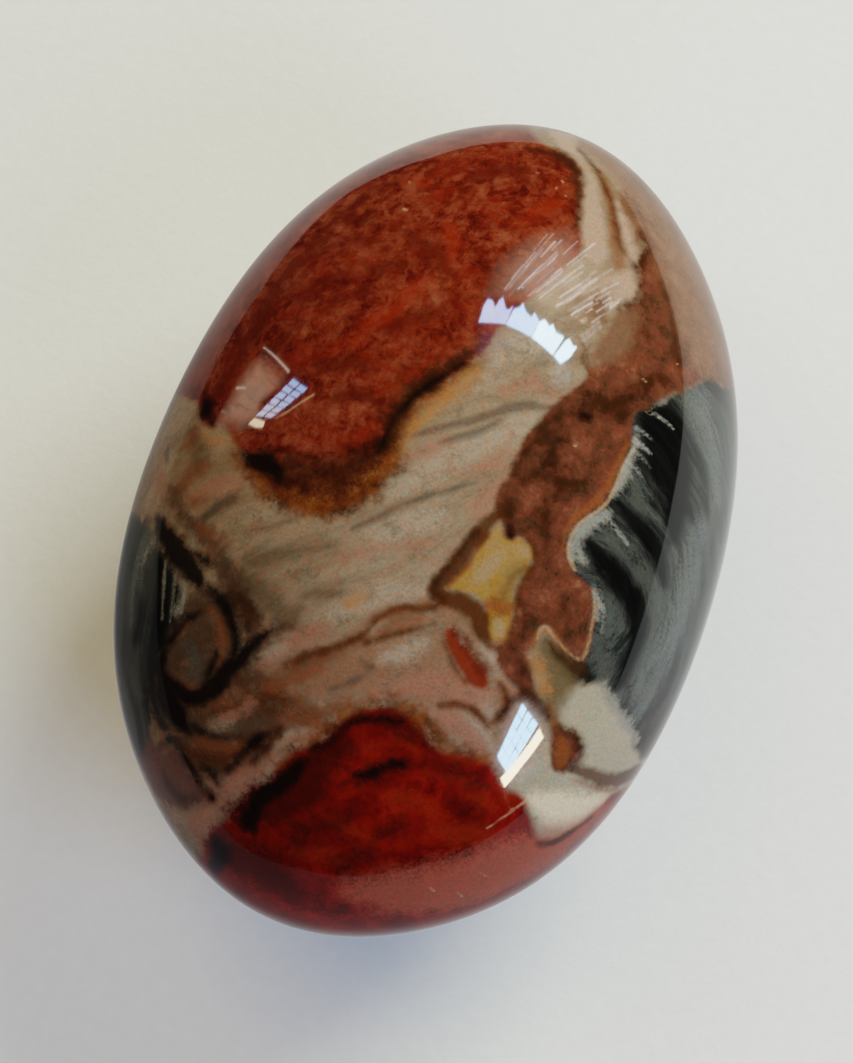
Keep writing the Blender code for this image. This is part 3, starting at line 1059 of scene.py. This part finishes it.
# Layers from the ground up: kind, the noise that moves its edge, half the width of its edge and how far the
# noise moves it, both in pixels, and the most that it covers. The washes lie in the pale band, under its
# specks.
WASHES = (
    ("olive", "flow", 10.0, 9.0, 0.75),
    ("umber", "grainy", 10.0, 12.0, 0.82),
    ("sienna", "grainy", 10.0, 13.0, 0.85),
    ("tan", "flow", 14.0, 16.0, 0.80),
    ("light", "flow", 9.0, 8.0, 0.80),
    ("pink", "flow", 8.0, 9.0, 0.75),
    ("rust", "grainy", 7.0, 7.0, 0.75),
    ("grey", "flow", 4.0, 3.0, 0.65),
)
LAYERS = (
    ("pale", "even", 8.0, 9.0, 0.86),
    # white stone with a painted reflection on it
    ("white_with_painted_sheen", "even", 9.0, 8.0, 0.85),
    ("shell", "flow", 5.0, 5.0, 0.85),
    ("wine", "grainy", 8.0, 8.0, 0.85),
    ("slate", "brush", 5.0, 6.0, 1.0),
    ("moss", "brush", 9.0, 12.0, 0.70),
    ("ink", "brush", 6.0, 7.0, 0.94),
    ("haze", "brush", 14.0, 12.0, 0.70),
    ("frost", "brush", 5.0, 6.0, 0.80),
    ("thread", "brush", 2.2, 3.5, 0.65),
    ("brown", "even", 4.0, 4.5, 1.0),
    ("sand", "even", 12.0, 9.0, 0.93),
    ("bark", "even", 7.0, 8.0, 0.88),
    ("yellow", "even", 3.0, 3.0, 1.0),
    ("tarnish", "grainy", 9.0, 9.0, 0.85),
    ("milk", "even", 5.0, 5.0, 0.80),
    ("red", "grainy", 5.0, 4.0, 1.0),
    ("crimson", "grainy", 6.0, 5.0, 1.0),
    # painted reflection along the bottom rim
    ("painted_rim_reflection", "grainy", 14.0, 12.0, 0.72),
    ("blaze", "grainy", 3.5, 3.0, 0.95),
    ("fire", "swirl", 8.0, 9.0, 0.60),
    ("garnet", "grainy", 9.0, 12.0, 0.80),
    ("clot", "grainy", 13.0, 20.0, 0.86),
    ("smoke", "grainy", 14.0, 18.0, 0.86),
    ("ochre", "grainy", 9.0, 11.0, 0.85),
    ("honey", "grainy", 8.0, 9.0, 0.80),
    ("amber", "even", 3.5, 3.0, 0.80),
    ("vein", "even", 4.5, 3.0, 0.90),
    ("dusk", "even", 7.0, 6.0, 0.90),
    ("shade", "even", 5.5, 4.0, 0.97),
    # pale-tan lines, and a painted glint
    ("pale_line_and_painted_glint", "even", 1.8, 1.0, 0.60),
    ("spark", "even", 1.2, 0.6, 0.50),
)

# Specks all over the pale band: grains in a metre, where in the noise they start and end, the most that they
# cover, and their colour. Their noise has this detail, roughness and distortion.
SPECKS = (
    (430.0, 0.50, 0.70, 0.60, (0.165, 0.068, 0.038)),
    (560.0, 0.50, 0.72, 0.65, (0.070, 0.052, 0.030)),
    (1500.0, 0.56, 0.72, 0.50, (0.060, 0.036, 0.022)),
)
SPECK_NOISE = (6.0, 0.72, 0.5)

# Noises in the stone: the coordinates that they run over, their repeats there, detail, roughness and
# distortion. In space the repeats are those in a metre. Every noise runs about the same middle.
NOISES = {
    "grain": ("space", 4200.0, 2.0, 0.60, 0.0),
    "speckle": ("space", 2100.0, 3.0, 0.60, 0.0),
    "hue": ("space", 1800.0, 3.0, 0.60, 0.0),
    "marble": ("space", 850.0, 5.0, 0.66, 0.5),
    "coarse": ("space", 700.0, 5.0, 0.66, 0.0),
    "blotches": ("space", 420.0, 6.0, 0.70, 0.25),
    "cloud": ("space", 320.0, 6.0, 0.68, 0.6),
    "broad": ("space", 260.0, 3.0, 0.60, 0.0),
    "flush": ("space", 210.0, 5.0, 0.66, 0.5),
    "flowing": ("flow", 1.2, 4.0, 0.60, 0.0),
    "streaks": ("flow", 0.55, 6.0, 0.68, 0.0),
    "swirling": ("swirl", 1.0, 4.0, 0.60, 0.0),
    "swirls": ("swirl", 0.8, 5.0, 0.70, 0.0),
    "brushing": ("brush", 1.5, 4.0, 0.60, 0.0),
    "brushed": ("brush", 0.9, 7.0, 0.72, 0.0),
}
NOISE_MIDDLE = 0.5

# Blends of those noises that move the edges of markings, and blends that mottle them, with each one's height
WOBBLES = {
    "even": {"coarse": 3.4, "grain": 0.8},
    "grainy": {"coarse": 2.6, "speckle": 1.1, "grain": 0.7},
    "flow": {"flowing": 2.4, "coarse": 1.4, "grain": 0.8},
    "swirl": {"swirling": 2.4, "coarse": 1.6, "grain": 0.8},
    "brush": {"brushing": 2.2, "coarse": 1.2, "grain": 1.2},
}
MOTTLING = {
    "marbling": {"marble": 0.75, "broad": 0.45, "swirls": 0.40},
    "clouds": {"cloud": 0.8, "coarse": 0.4},
}

# Where in its noise the flush of the red patches starts and ends, the least and the most that it covers, and
# its colour
FLUSH = (0.48, 0.62, 0.0, 0.60)
FLUSH_COLOUR = (0.100, 0.0070, 0.0010)

# How much the colours lean to rust and to green from grain to grain, and how much their light changes: from
# these two places in the grain to these two factors
TINTS = ((0.32, (1.14, 0.96, 0.88)), (0.68, (0.88, 1.02, 1.08)))
GRAIN_LIGHT = (0.25, 0.75, 0.80, 1.20)

POLISH_ROUGHNESS = 0.04
QUARTZ_IOR = 1.54


class Painter:
    """Adds nodes to one material, and joins them up."""

    def __init__(self, material):
        self.nodes = material.node_tree.nodes
        self.links = material.node_tree.links

    def add(self, kind, settings=None, **inputs):
        node = self.nodes.new(kind)
        for name, value in (settings or {}).items():
            setattr(node, name, value)
        for name, value in inputs.items():
            self.put(node.inputs[name.replace("_", " ")], value)
        return node

    def put(self, socket, value):
        if isinstance(value, bpy.types.NodeSocket):
            self.links.new(value, socket)
        else:
            socket.default_value = value

    def attribute(self, name, output="Fac"):
        return self.add("ShaderNodeAttribute", {"attribute_name": name}).outputs[output]

    def noise(self, place, scale, detail, roughness, distortion=0.0):
        node = self.add(
            "ShaderNodeTexNoise",
            Vector=place, Scale=scale, Detail=detail, Roughness=roughness, Distortion=distortion,
        )
        return node.outputs["Fac"]

    def blend(self, noises, heights):
        """The sum of some noises, each with its height, moved so that it runs about zero."""
        total = -NOISE_MIDDLE * sum(heights.values())
        for name, height in heights.items():
            total = self.maths("MULTIPLY_ADD", noises[name], height, total)
        return total

    def maths(self, operation, first, second=0.0, third=0.0):
        node = self.add("ShaderNodeMath", {"operation": operation})
        for socket, value in zip(node.inputs, (first, second, third)):
            self.put(socket, value)
        return node.outputs[0]

    def ramp(self, factor, stops):
        node = self.add("ShaderNodeValToRGB", Fac=factor)
        elements = node.color_ramp.elements
        while len(elements) < len(stops):
            elements.new(1.0)
        for element, (place, colour) in zip(elements, stops):
            element.position = place
            element.color = (*colour, 1)
        return node.outputs["Color"]

    def mix(self, factor, below, above, blend="MIX"):
        node = self.add("ShaderNodeMix", {"data_type": "RGBA", "blend_type": blend})
        self.put(node.inputs["Factor"], factor)
        colours = [socket for socket in node.inputs if socket.type == "RGBA"]
        for socket, value in zip(colours, (below, above)):
            self.put(socket, value if isinstance(value, bpy.types.NodeSocket) else (*value, 1))
        return next(socket for socket in node.outputs if socket.type == "RGBA")

    def map_range(self, value, from_low, from_high, to_low, to_high, kind="SMOOTHSTEP"):
        node = self.add("ShaderNodeMapRange", {"interpolation_type": kind})
        for socket, number in zip(node.inputs, (value, from_low, from_high, to_low, to_high)):
            self.put(socket, number)
        return node.outputs[0]


def paint_layers(paint, colour, rows, colours, wobbles):
    """Lays kinds of marking over a colour, each where its depth says that it is."""
    for kind, wobble, edge, stray, cover in rows:
        depth = paint.maths("MULTIPLY_ADD", wobbles[wobble], stray, paint.attribute(kind))
        share = paint.map_range(depth, -edge, edge, 0.0, cover)
        colour = paint.mix(share, colour, colours[kind])
    return colour


def stone_material():
    material = bpy.data.materials.new("jasper")
    material.use_nodes = True
    paint = Painter(material)
    shader = paint.nodes["Principled BSDF"]
    places = {name: paint.attribute(name, "Vector") for name in (*GRAINS, "brush")}
    places["space"] = paint.add("ShaderNodeTexCoord").outputs["Object"]
    noises = {name: paint.noise(places[place], *numbers) for name, (place, *numbers) in NOISES.items()}
    wobbles = {name: paint.blend(noises, heights) for name, heights in WOBBLES.items()}
    for name, heights in MOTTLING.items():
        noises[name] = paint.maths("ADD", paint.blend(noises, heights), NOISE_MIDDLE)
    colours = {kind: paint.ramp(noises[noise], stops) for kind, (noise, *stops) in MOTTLES.items()}
    colours["red"] = paint.mix(paint.map_range(noises["flush"], *FLUSH), colours["red"], FLUSH_COLOUR)
    colours.update(PLAIN)

    colour = paint_layers(paint, colours["cream"], WASHES, colours, wobbles)
    for scale, start, end, cover, tint in SPECKS:
        speck = paint.noise(places["space"], scale, *SPECK_NOISE)
        colour = paint.mix(paint.map_range(speck, start, end, 0.0, cover), colour, tint)
    colour = paint_layers(paint, colour, LAYERS, colours, wobbles)
    colour = paint.mix(1.0, colour, paint.ramp(noises["hue"], TINTS), "MULTIPLY")
    light = paint.map_range(noises["grain"], *GRAIN_LIGHT, "LINEAR")
    grey = paint.add("ShaderNodeCombineColor", Red=light, Green=light, Blue=light).outputs[0]
    colour = paint.mix(1.0, colour, grey, "MULTIPLY")
    paint.put(shader.inputs["Base Color"], colour)
    shader.inputs["Roughness"].default_value = POLISH_ROUGHNESS
    shader.inputs["IOR"].default_value = QUARTZ_IOR
    return material


def make_stone():
    data, points = stone_mesh()
    normals = np.empty(len(points) * 3, np.float32)
    data.vertices.foreach_get("normal", normals)
    normals = normals.reshape(-1, 3).astype(float)
    for kind, depths in marking_fields(points, normals).items():
        add_attribute(data, kind, depths)
    for name, grain in GRAINS.items():
        add_attribute(data, name, grain_places(points, *grain))
    add_attribute(data, "brush", brush_places(points))
    stone = bpy.data.objects.new("jasper_stone", data)
    bpy.context.scene.collection.objects.link(stone)
    data.materials.append(stone_material())
    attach(stone, BODY)
    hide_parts(NODE)
    return stone


def glow_material():
    """Shines with the radiance that is stored at the corners of a mesh."""
    material = bpy.data.materials.new("mirrored_light")
    material.use_nodes = True
    paint = Painter(material)
    paint.nodes.remove(paint.nodes["Principled BSDF"])
    glow = paint.add("ShaderNodeEmission", Color=paint.attribute("radiance", "Vector"), Strength=1.0)
    paint.put(paint.nodes["Material Output"].inputs["Surface"], glow.outputs[0])
    return material


# Paper under the stone: its edge in metres, the repeats in a metre, detail and roughness of its creases and
# its fibres, its darkest and its lightest tone with their places in that noise, how much lower than a crease
# a fibre is, the strength and the depth of that relief, and its roughness
FLOOR_EDGE = 6.0
PAPER_CREASES = (14.0, 2.0, 0.55)
PAPER_FIBRES = (700.0, 3.0, 0.70)
PAPER_TONES = ((0.35, (0.770, 0.762, 0.738)), (0.65, (0.830, 0.824, 0.800)))
FIBRE_HEIGHT = 0.04
RELIEF_STRENGTH = 0.35
RELIEF_DEPTH = 0.004
PAPER_ROUGHNESS = 0.9


def paper_material():
    """Pale paper with soft creases and fine fibres."""
    material = bpy.data.materials.new("paper")
    material.use_nodes = True
    paint = Painter(material)
    shader = paint.nodes["Principled BSDF"]
    space = paint.add("ShaderNodeTexCoord").outputs["Object"]
    creases = paint.noise(space, *PAPER_CREASES)
    fibres = paint.noise(space, *PAPER_FIBRES)
    tone = paint.maths("MULTIPLY_ADD", fibres, 0.5, paint.maths("MULTIPLY", creases, 0.5))
    height = paint.maths("MULTIPLY_ADD", fibres, FIBRE_HEIGHT, creases)
    bump = paint.add("ShaderNodeBump", Strength=RELIEF_STRENGTH, Distance=RELIEF_DEPTH, Height=height)
    paint.put(shader.inputs["Base Color"], paint.ramp(tone, PAPER_TONES))
    paint.put(shader.inputs["Normal"], bump.outputs[0])
    shader.inputs["Roughness"].default_value = PAPER_ROUGHNESS
    shader.inputs["Specular IOR Level"].default_value = 0.0
    return material


def make_floor():
    data = bpy.data.meshes.new("floor")
    half = FLOOR_EDGE / 2
    corners = [(-half, -half, 0), (half, -half, 0), (half, half, 0), (-half, half, 0)]
    data.from_pydata(corners, [], [range(4)])
    floor = bpy.data.objects.new("floor", data)
    data.materials.append(paper_material())
    floor.visible_glossy = False
    bpy.context.scene.collection.objects.link(floor)


# How far away the bright things stand that the stone mirrors
CARD_DISTANCE = 1.2
RAY_DISTANCE = 1.4

# What the stone mirrors: for each patch its radiance in red, green and blue, and its outline as it shows on
# the stone in the photograph's pixels
CARDS = {
    "left window, glint above": ((7.0, 5.5, 4.6), ((262, 347), (264, 347), (290, 371), (288, 373))),
    "left window, short dash": ((5.0, 4.0, 3.4), ((236, 387), (246, 387), (246, 389), (236, 390))),
    "left window, orange glint": (
        (5.5, 3.0, 1.5), ((272, 420), (287, 411), (314, 393), (315, 395), (286, 414)),
    ),
    "left window, sill": ((20.0, 13.5, 8.5), ((249, 424), (254, 418), (265, 421), (263, 427), (256, 427))),
    "back window, first pane": (
        (15.0, 19.0, 36.0),
        ((479, 322), (484, 306), (488, 299), (492, 300), (495, 308), (500, 300), (503, 297), (505, 308),
         (509, 310), (513, 306), (505, 324)),
    ),
    "back window, second pane": (
        (19.0, 32.0, 60.0),
        ((506, 325), (514, 309), (520, 307), (523, 303), (526, 312), (532, 318), (535, 313), (539, 321),
         (531, 337)),
    ),
    "back window, third pane": (
        (42.0, 72.0, 95.0),
        ((532, 338), (540, 322), (545, 320), (549, 326), (553, 325), (556, 333), (564, 337), (553, 355)),
    ),
    "back window, fourth pane": (
        (42.0, 75.0, 98.0),
        ((554, 356), (565, 342), (569, 339), (573, 346), (577, 346), (570, 357), (561, 364)),
    ),
    "right window, warm strip": (
        (80.0, 62.0, 36.0), ((539, 728), (543, 737), (522, 766), (505, 788), (501, 778)),
    ),
}

# Windows that show as a grid of panes: the outline's corners, how many panes along its first and second side,
# the share of a pane that its bars take, and the radiance at the start and the end of the second side
WINDOWS = {
    "left window": (
        ((293, 379), (309, 390), (272, 419), (255, 417)), 2, 6, 0.20, (6.0, 10.0, 20.0), (10.0, 11.0, 15.0),
    ),
    "right window": (
        ((522, 703), (538, 725), (507, 775), (497, 757)), 3, 5, 0.07, (22.0, 50.0, 90.0), (26.0, 54.0, 90.0),
    ),
    "side glass": (
        ((579, 336), (600, 318), (604, 328), (583, 344)), 4, 2, 0.16, (3.2, 2.7, 2.5), (3.2, 2.7, 2.5),
    ),
}

# Fans of thin rays around the windows: the line that they start from, the line that they run to, how many
# there are, and their mean radiance
FANS = {
    "back window": (
        ((497, 297), (515, 297), (535, 301), (562, 310), (588, 330)),
        ((556, 222), (584, 232), (602, 252), (618, 278), (624, 304)),
        90, (8.0, 6.6, 5.8),
    ),
    "left window": (
        ((288, 378), (279, 387), (268, 399), (256, 412), (246, 423)),
        ((262, 348), (252, 358), (240, 374), (228, 394), (218, 412)),
        16, (1.6, 1.1, 0.8),
    ),
}

RAY_SEED = 5

# The least and the most of each ray: its place across the fan and its width, as shares of the line, where it
# starts and how long it is, as shares of the way between the lines, and its brightness against the mean
RAY_PLACES = (0, 0.97)
RAY_WIDTHS = (0.006, 0.022)
RAY_STARTS = (0, 0.7)
RAY_LENGTHS = (0.12, 0.45)
RAY_GAINS = (0.3, 1.8)

# Faint light around the windows: its radiance, the share of the way to its middle over which it fades in, and
# its outline
VEILS = {
    "around the back window": (
        (4.3, 3.1, 2.1), 0.80,
        ((478, 298), (490, 262), (525, 234), (570, 222), (598, 250), (604, 285), (588, 318), (550, 326)),
    ),
    "under the back window": (
        (0.5, 0.45, 0.8), 0.5,
        ((478, 326), (505, 328), (530, 342), (512, 352), (488, 362), (470, 356)),
    ),
    "beside the back window": (
        (1.4, 1.6, 1.7), 0.6,
        ((545, 372), (556, 358), (572, 362), (578, 378), (566, 392), (550, 388)),
    ),
    "above the left window": (
        (3.0, 1.9, 1.25), 0.70,
        ((262, 350), (290, 373), (288, 382), (276, 392), (262, 405), (256, 426), (238, 438), (210, 428),
         (226, 398), (244, 368)),
    ),
    "around the right window": (
        (2.6, 2.1, 2.2), 0.5,
        ((488, 770), (498, 722), (516, 692), (545, 700), (552, 735), (535, 775), (505, 800)),
    ),
}
VEIL_DISTANCE = 1.6

# Rings of a veil: their share of that way inwards, and their share of its radiance
VEIL_STEPS = ((0.0, 0.0), (0.35, 0.35), (0.7, 0.85), (1.0, 1.0))

# The paper as the rim of the stone mirrors it: the inner edge of that image in the photograph's pixels,
# clockwise from the right, and the radiance of the paper there. Past that edge the room is dark.
PAPER_EDGE = (
    ((682, 440), (0.66, 0.69, 0.65)), ((672, 500), (0.60, 0.62, 0.58)), ((652, 560), (0.57, 0.59, 0.57)),
    ((620, 678), (0.46, 0.48, 0.47)), ((560, 765), (0.40, 0.38, 0.38)), ((480, 840), (0.32, 0.28, 0.29)),
    ((370, 870), (0.17, 0.15, 0.16)), ((300, 868), (0.12, 0.11, 0.12)), ((240, 845), (0.09, 0.085, 0.095)),
    ((205, 800), (0.13, 0.12, 0.13)), ((165, 690), (0.06, 0.06, 0.06)), ((158, 590), (0.08, 0.08, 0.075)),
    ((172, 470), (0.13, 0.12, 0.105)), ((215, 365), (0.19, 0.17, 0.15)), ((262, 290), (0.28, 0.24, 0.21)),
    ((345, 195), (0.40, 0.36, 0.33)), ((430, 158), (0.54, 0.49, 0.43)), ((520, 142), (0.50, 0.48, 0.43)),
    ((600, 170), (0.50, 0.47, 0.43)), ((655, 258), (0.65, 0.61, 0.55)), ((682, 360), (0.65, 0.64, 0.60)),
)
PAPER_REACH = 2.5
PAPER_LIFT = 0.0003

# Rings of that paper from its edge inwards: how far beyond the stone they run in metres, how much brighter
# than the edge they are, and the radiance added there. The first runs along the edge itself.
PAPER_RINGS = (
    (PAPER_REACH, 1.0, 0.0), (0.045, 1.15, 0.0), (0.014, 1.2, 0.03), (0.005, 1.2, 0.18), (-0.010, 1.2, 0.25),
)


class Mirror:
    """The stone as the camera sees things in its polish."""

    def __init__(self, mesh):
        self.places = [vertex.co.copy() for vertex in mesh.vertices]
        self.normals = [np.array(vertex.normal) for vertex in mesh.vertices]
        self.faces = [tuple(polygon.vertices) for polygon in mesh.polygons]
        self.tree = BVHTree.FromPolygons(self.places, self.faces)

    def way(self, place):
        """The direction that shows at a pixel of the photograph, and the point of the stone there."""
        across = (place[0] - PHOTO_WIDTH / 2) / FOCAL_PIXELS
        down = (place[1] - PHOTO_HEIGHT / 2) / FOCAL_PIXELS
        way = across * RIGHT - down * UP - BACK
        way /= np.linalg.norm(way)
        point, _, face, _ = self.tree.ray_cast(Vector(CAMERA_PLACE), Vector(way))
        normal = sum(
            self.normals[index] / max((point - self.places[index]).length, TINY)
            for index in self.faces[face]
        )
        normal /= np.linalg.norm(normal)
        return way - 2 * (way @ normal) * normal, np.array(point)

    def corners(self, places, distance):
        """The points at a distance from the stone that show at pixels of the photograph."""
        return [Vector(point + distance * way) for way, point in map(self.way, places)]


def mirrored_only(name, corners, faces, radiances, material):
    """A flat shape with a radiance at each corner. Only mirrored rays see it."""
    data = bpy.data.meshes.new(name)
    data.from_pydata(corners, [], faces)
    data.materials.append(material)
    add_attribute(data, "radiance", np.array(radiances, float))
    card = bpy.data.objects.new(name.replace(",", "").replace(" ", "_"), data)
    card.visible_camera = False
    card.visible_diffuse = False
    card.visible_shadow = False
    bpy.context.scene.collection.objects.link(card)


def window_panes(corners, across, along, bar, start, end):
    """The panes of a window, each as four pixels and a radiance."""
    first, second, third, fourth = np.array(corners, float)

    def place(column, row):
        u, v = column / across, row / along
        return (first * (1 - u) + second * u) * (1 - v) + (fourth * (1 - u) + third * u) * v

    panes = []
    for column in range(across):
        for row in range(along):
            right, foot = column + 1 - bar, row + 1 - bar
            quad = [place(column, row), place(right, row), place(right, foot), place(column, foot)]
            share = row / max(along - 1, 1)
            panes.append((quad, np.array(start) * (1 - share) + np.array(end) * share))
    return panes


def fan_rays(inner, outer, count, radiance):
    """Thin rays of chance length and strength between two lines, each as four pixels and a radiance."""
    chance = np.random.default_rng(RAY_SEED)
    inner, outer = smooth_line(inner), smooth_line(outer)
    steps = np.arange(len(inner))

    def along(line, share):
        return np.array([np.interp(share * steps[-1], steps, line[:, axis]) for axis in range(2)])

    rays = []
    for side in chance.uniform(*RAY_PLACES, count):
        other = side + chance.uniform(*RAY_WIDTHS)
        start = chance.uniform(*RAY_STARTS)
        end = min(start + chance.uniform(*RAY_LENGTHS), 1.0)
        quad = [
            along(inner, across) * (1 - share) + along(outer, across) * share
            for across, share in ((side, start), (other, start), (other, end), (side, end))
        ]
        rays.append((quad, np.array(radiance) * chance.uniform(*RAY_GAINS)))
    return rays


def ring_faces(around, rings):
    """Quads that join rings of corners, one ring after the other."""
    faces = []
    for first in range(0, (rings - 1) * around, around):
        second = first + around
        for i in range(around):
            after = (i + 1) % around
            faces.append((first + i, first + after, second + after, second + i))
    return faces


def floor_place(way, point):
    """Where a mirrored way from a point of the stone meets the paper, no farther than the paper's reach."""
    level = np.array(way[:2]) / np.linalg.norm(way[:2])
    if way[2] < 0:
        met = point[:2] + way[:2] * (PAPER_LIFT - point[2]) / way[2]
        if np.linalg.norm(met) < PAPER_REACH:
            return met
    return level * PAPER_REACH


def ring_share(place, beyond):
    """The share of the way out to a place on the paper at which a ring is that far beyond the stone."""
    rim = 1 / np.linalg.norm(place / (SIZE[:2] / 2))
    return min(rim + beyond / np.linalg.norm(place), 1.0)


def make_mirrored_things(stone):
    """Windows, their veils and the paper, at the places that the stone mirrors in the photograph."""
    mirror = Mirror(stone.data)
    glow = glow_material()

    for name, (radiance, outline) in CARDS.items():
        around = len(outline)
        corners = mirror.corners(outline, CARD_DISTANCE)
        mirrored_only(name, corners, [range(around)], [radiance] * around, glow)

    groups = [(f"{name} panes", CARD_DISTANCE, window_panes(*window)) for name, window in WINDOWS.items()]
    groups += [(f"{name} rays", RAY_DISTANCE, fan_rays(*fan)) for name, fan in FANS.items()]
    for name, distance, quads in groups:
        corners = mirror.corners([place for quad, _ in quads for place in quad], distance)
        radiances = [radiance for _, radiance in quads for _ in range(4)]
        faces = [range(first, first + 4) for first in range(0, len(corners), 4)]
        mirrored_only(name, corners, faces, radiances, glow)

    for name, (radiance, fade, outline) in VEILS.items():
        around = len(outline)
        middle = np.mean(outline, axis=0)
        places = [place + fade * step * (middle - place) for step, _ in VEIL_STEPS for place in outline]
        radiances = [np.array(radiance) * strength for _, strength in VEIL_STEPS for _ in outline]
        faces = ring_faces(around, len(VEIL_STEPS)) + [range(len(places) - around, len(places))]
        mirrored_only(f"veil {name}", mirror.corners(places, VEIL_DISTANCE), faces, radiances, glow)

    edge = [floor_place(*mirror.way(place)) for place, _ in PAPER_EDGE]
    corners, radiances = [], []
    for beyond, gain, lift in PAPER_RINGS:
        for place, (_, radiance) in zip(edge, PAPER_EDGE):
            corners.append((*(place * ring_share(place, beyond)), PAPER_LIFT))
            radiances.append(np.array(radiance) * gain + lift)
    mirrored_only("mirrored paper", corners, ring_faces(len(edge), len(PAPER_RINGS)), radiances, glow)


def direction(turn, rise):
    turn, rise = math.radians(turn), math.radians(rise)
    return Vector((math.cos(rise) * math.cos(turn), math.cos(rise) * math.sin(turn), math.sin(rise)))


# Lights on the paper and the stone: direction and height in degrees, distance and edge in metres, and the
# radiance of each colour in watts per square metre and steradian
LIGHTS = {
    "window light from the upper right": (63, 35, 0.5, 0.3, (16.3, 17.0, 14.0)),
    "cool light from the lower right": (333, 35, 0.5, 0.3, (4.9, 6.0, 8.6)),
    "warm light from the left": (153, 60, 1.2, 0.9, (3.1, 2.5, 1.5)),
}
ROOM = (0.018, 0.019, 0.020, 1)


def area_light(name, turn, rise, distance, edge, radiance):
    """A square light that faces the stone. The stone doesn't mirror it."""
    strongest = max(radiance)
    data = bpy.data.lights.new(name, "AREA")
    data.shape = "SQUARE"
    data.size = edge
    data.color = [share / strongest for share in radiance]
    data.energy = strongest * math.pi * edge**2
    light = bpy.data.objects.new(name, data)
    way = direction(turn, rise)
    facing = way.to_track_quat("Z", "Y").to_matrix().to_4x4()
    light.matrix_world = Matrix.Translation(Vector(MIDDLE) + way * distance) @ facing
    light.visible_glossy = False
    light.visible_camera = False
    bpy.context.scene.collection.objects.link(light)


def make_lights():
    world = bpy.data.worlds.new("room")
    world.use_nodes = True
    world.node_tree.nodes["Background"].inputs["Color"].default_value = ROOM
    bpy.context.scene.world = world
    for name, (turn, rise, distance, edge, radiance) in LIGHTS.items():
        area_light(name, turn, rise, distance, edge, radiance)


def main():
    bpy.context.scene.view_settings.view_transform = "Filmic"
    bpy.context.scene.view_settings.look = "None"
    make_camera()
    stone = make_stone()
    make_mirrored_things(stone)
    make_floor()
    make_lights()


main()
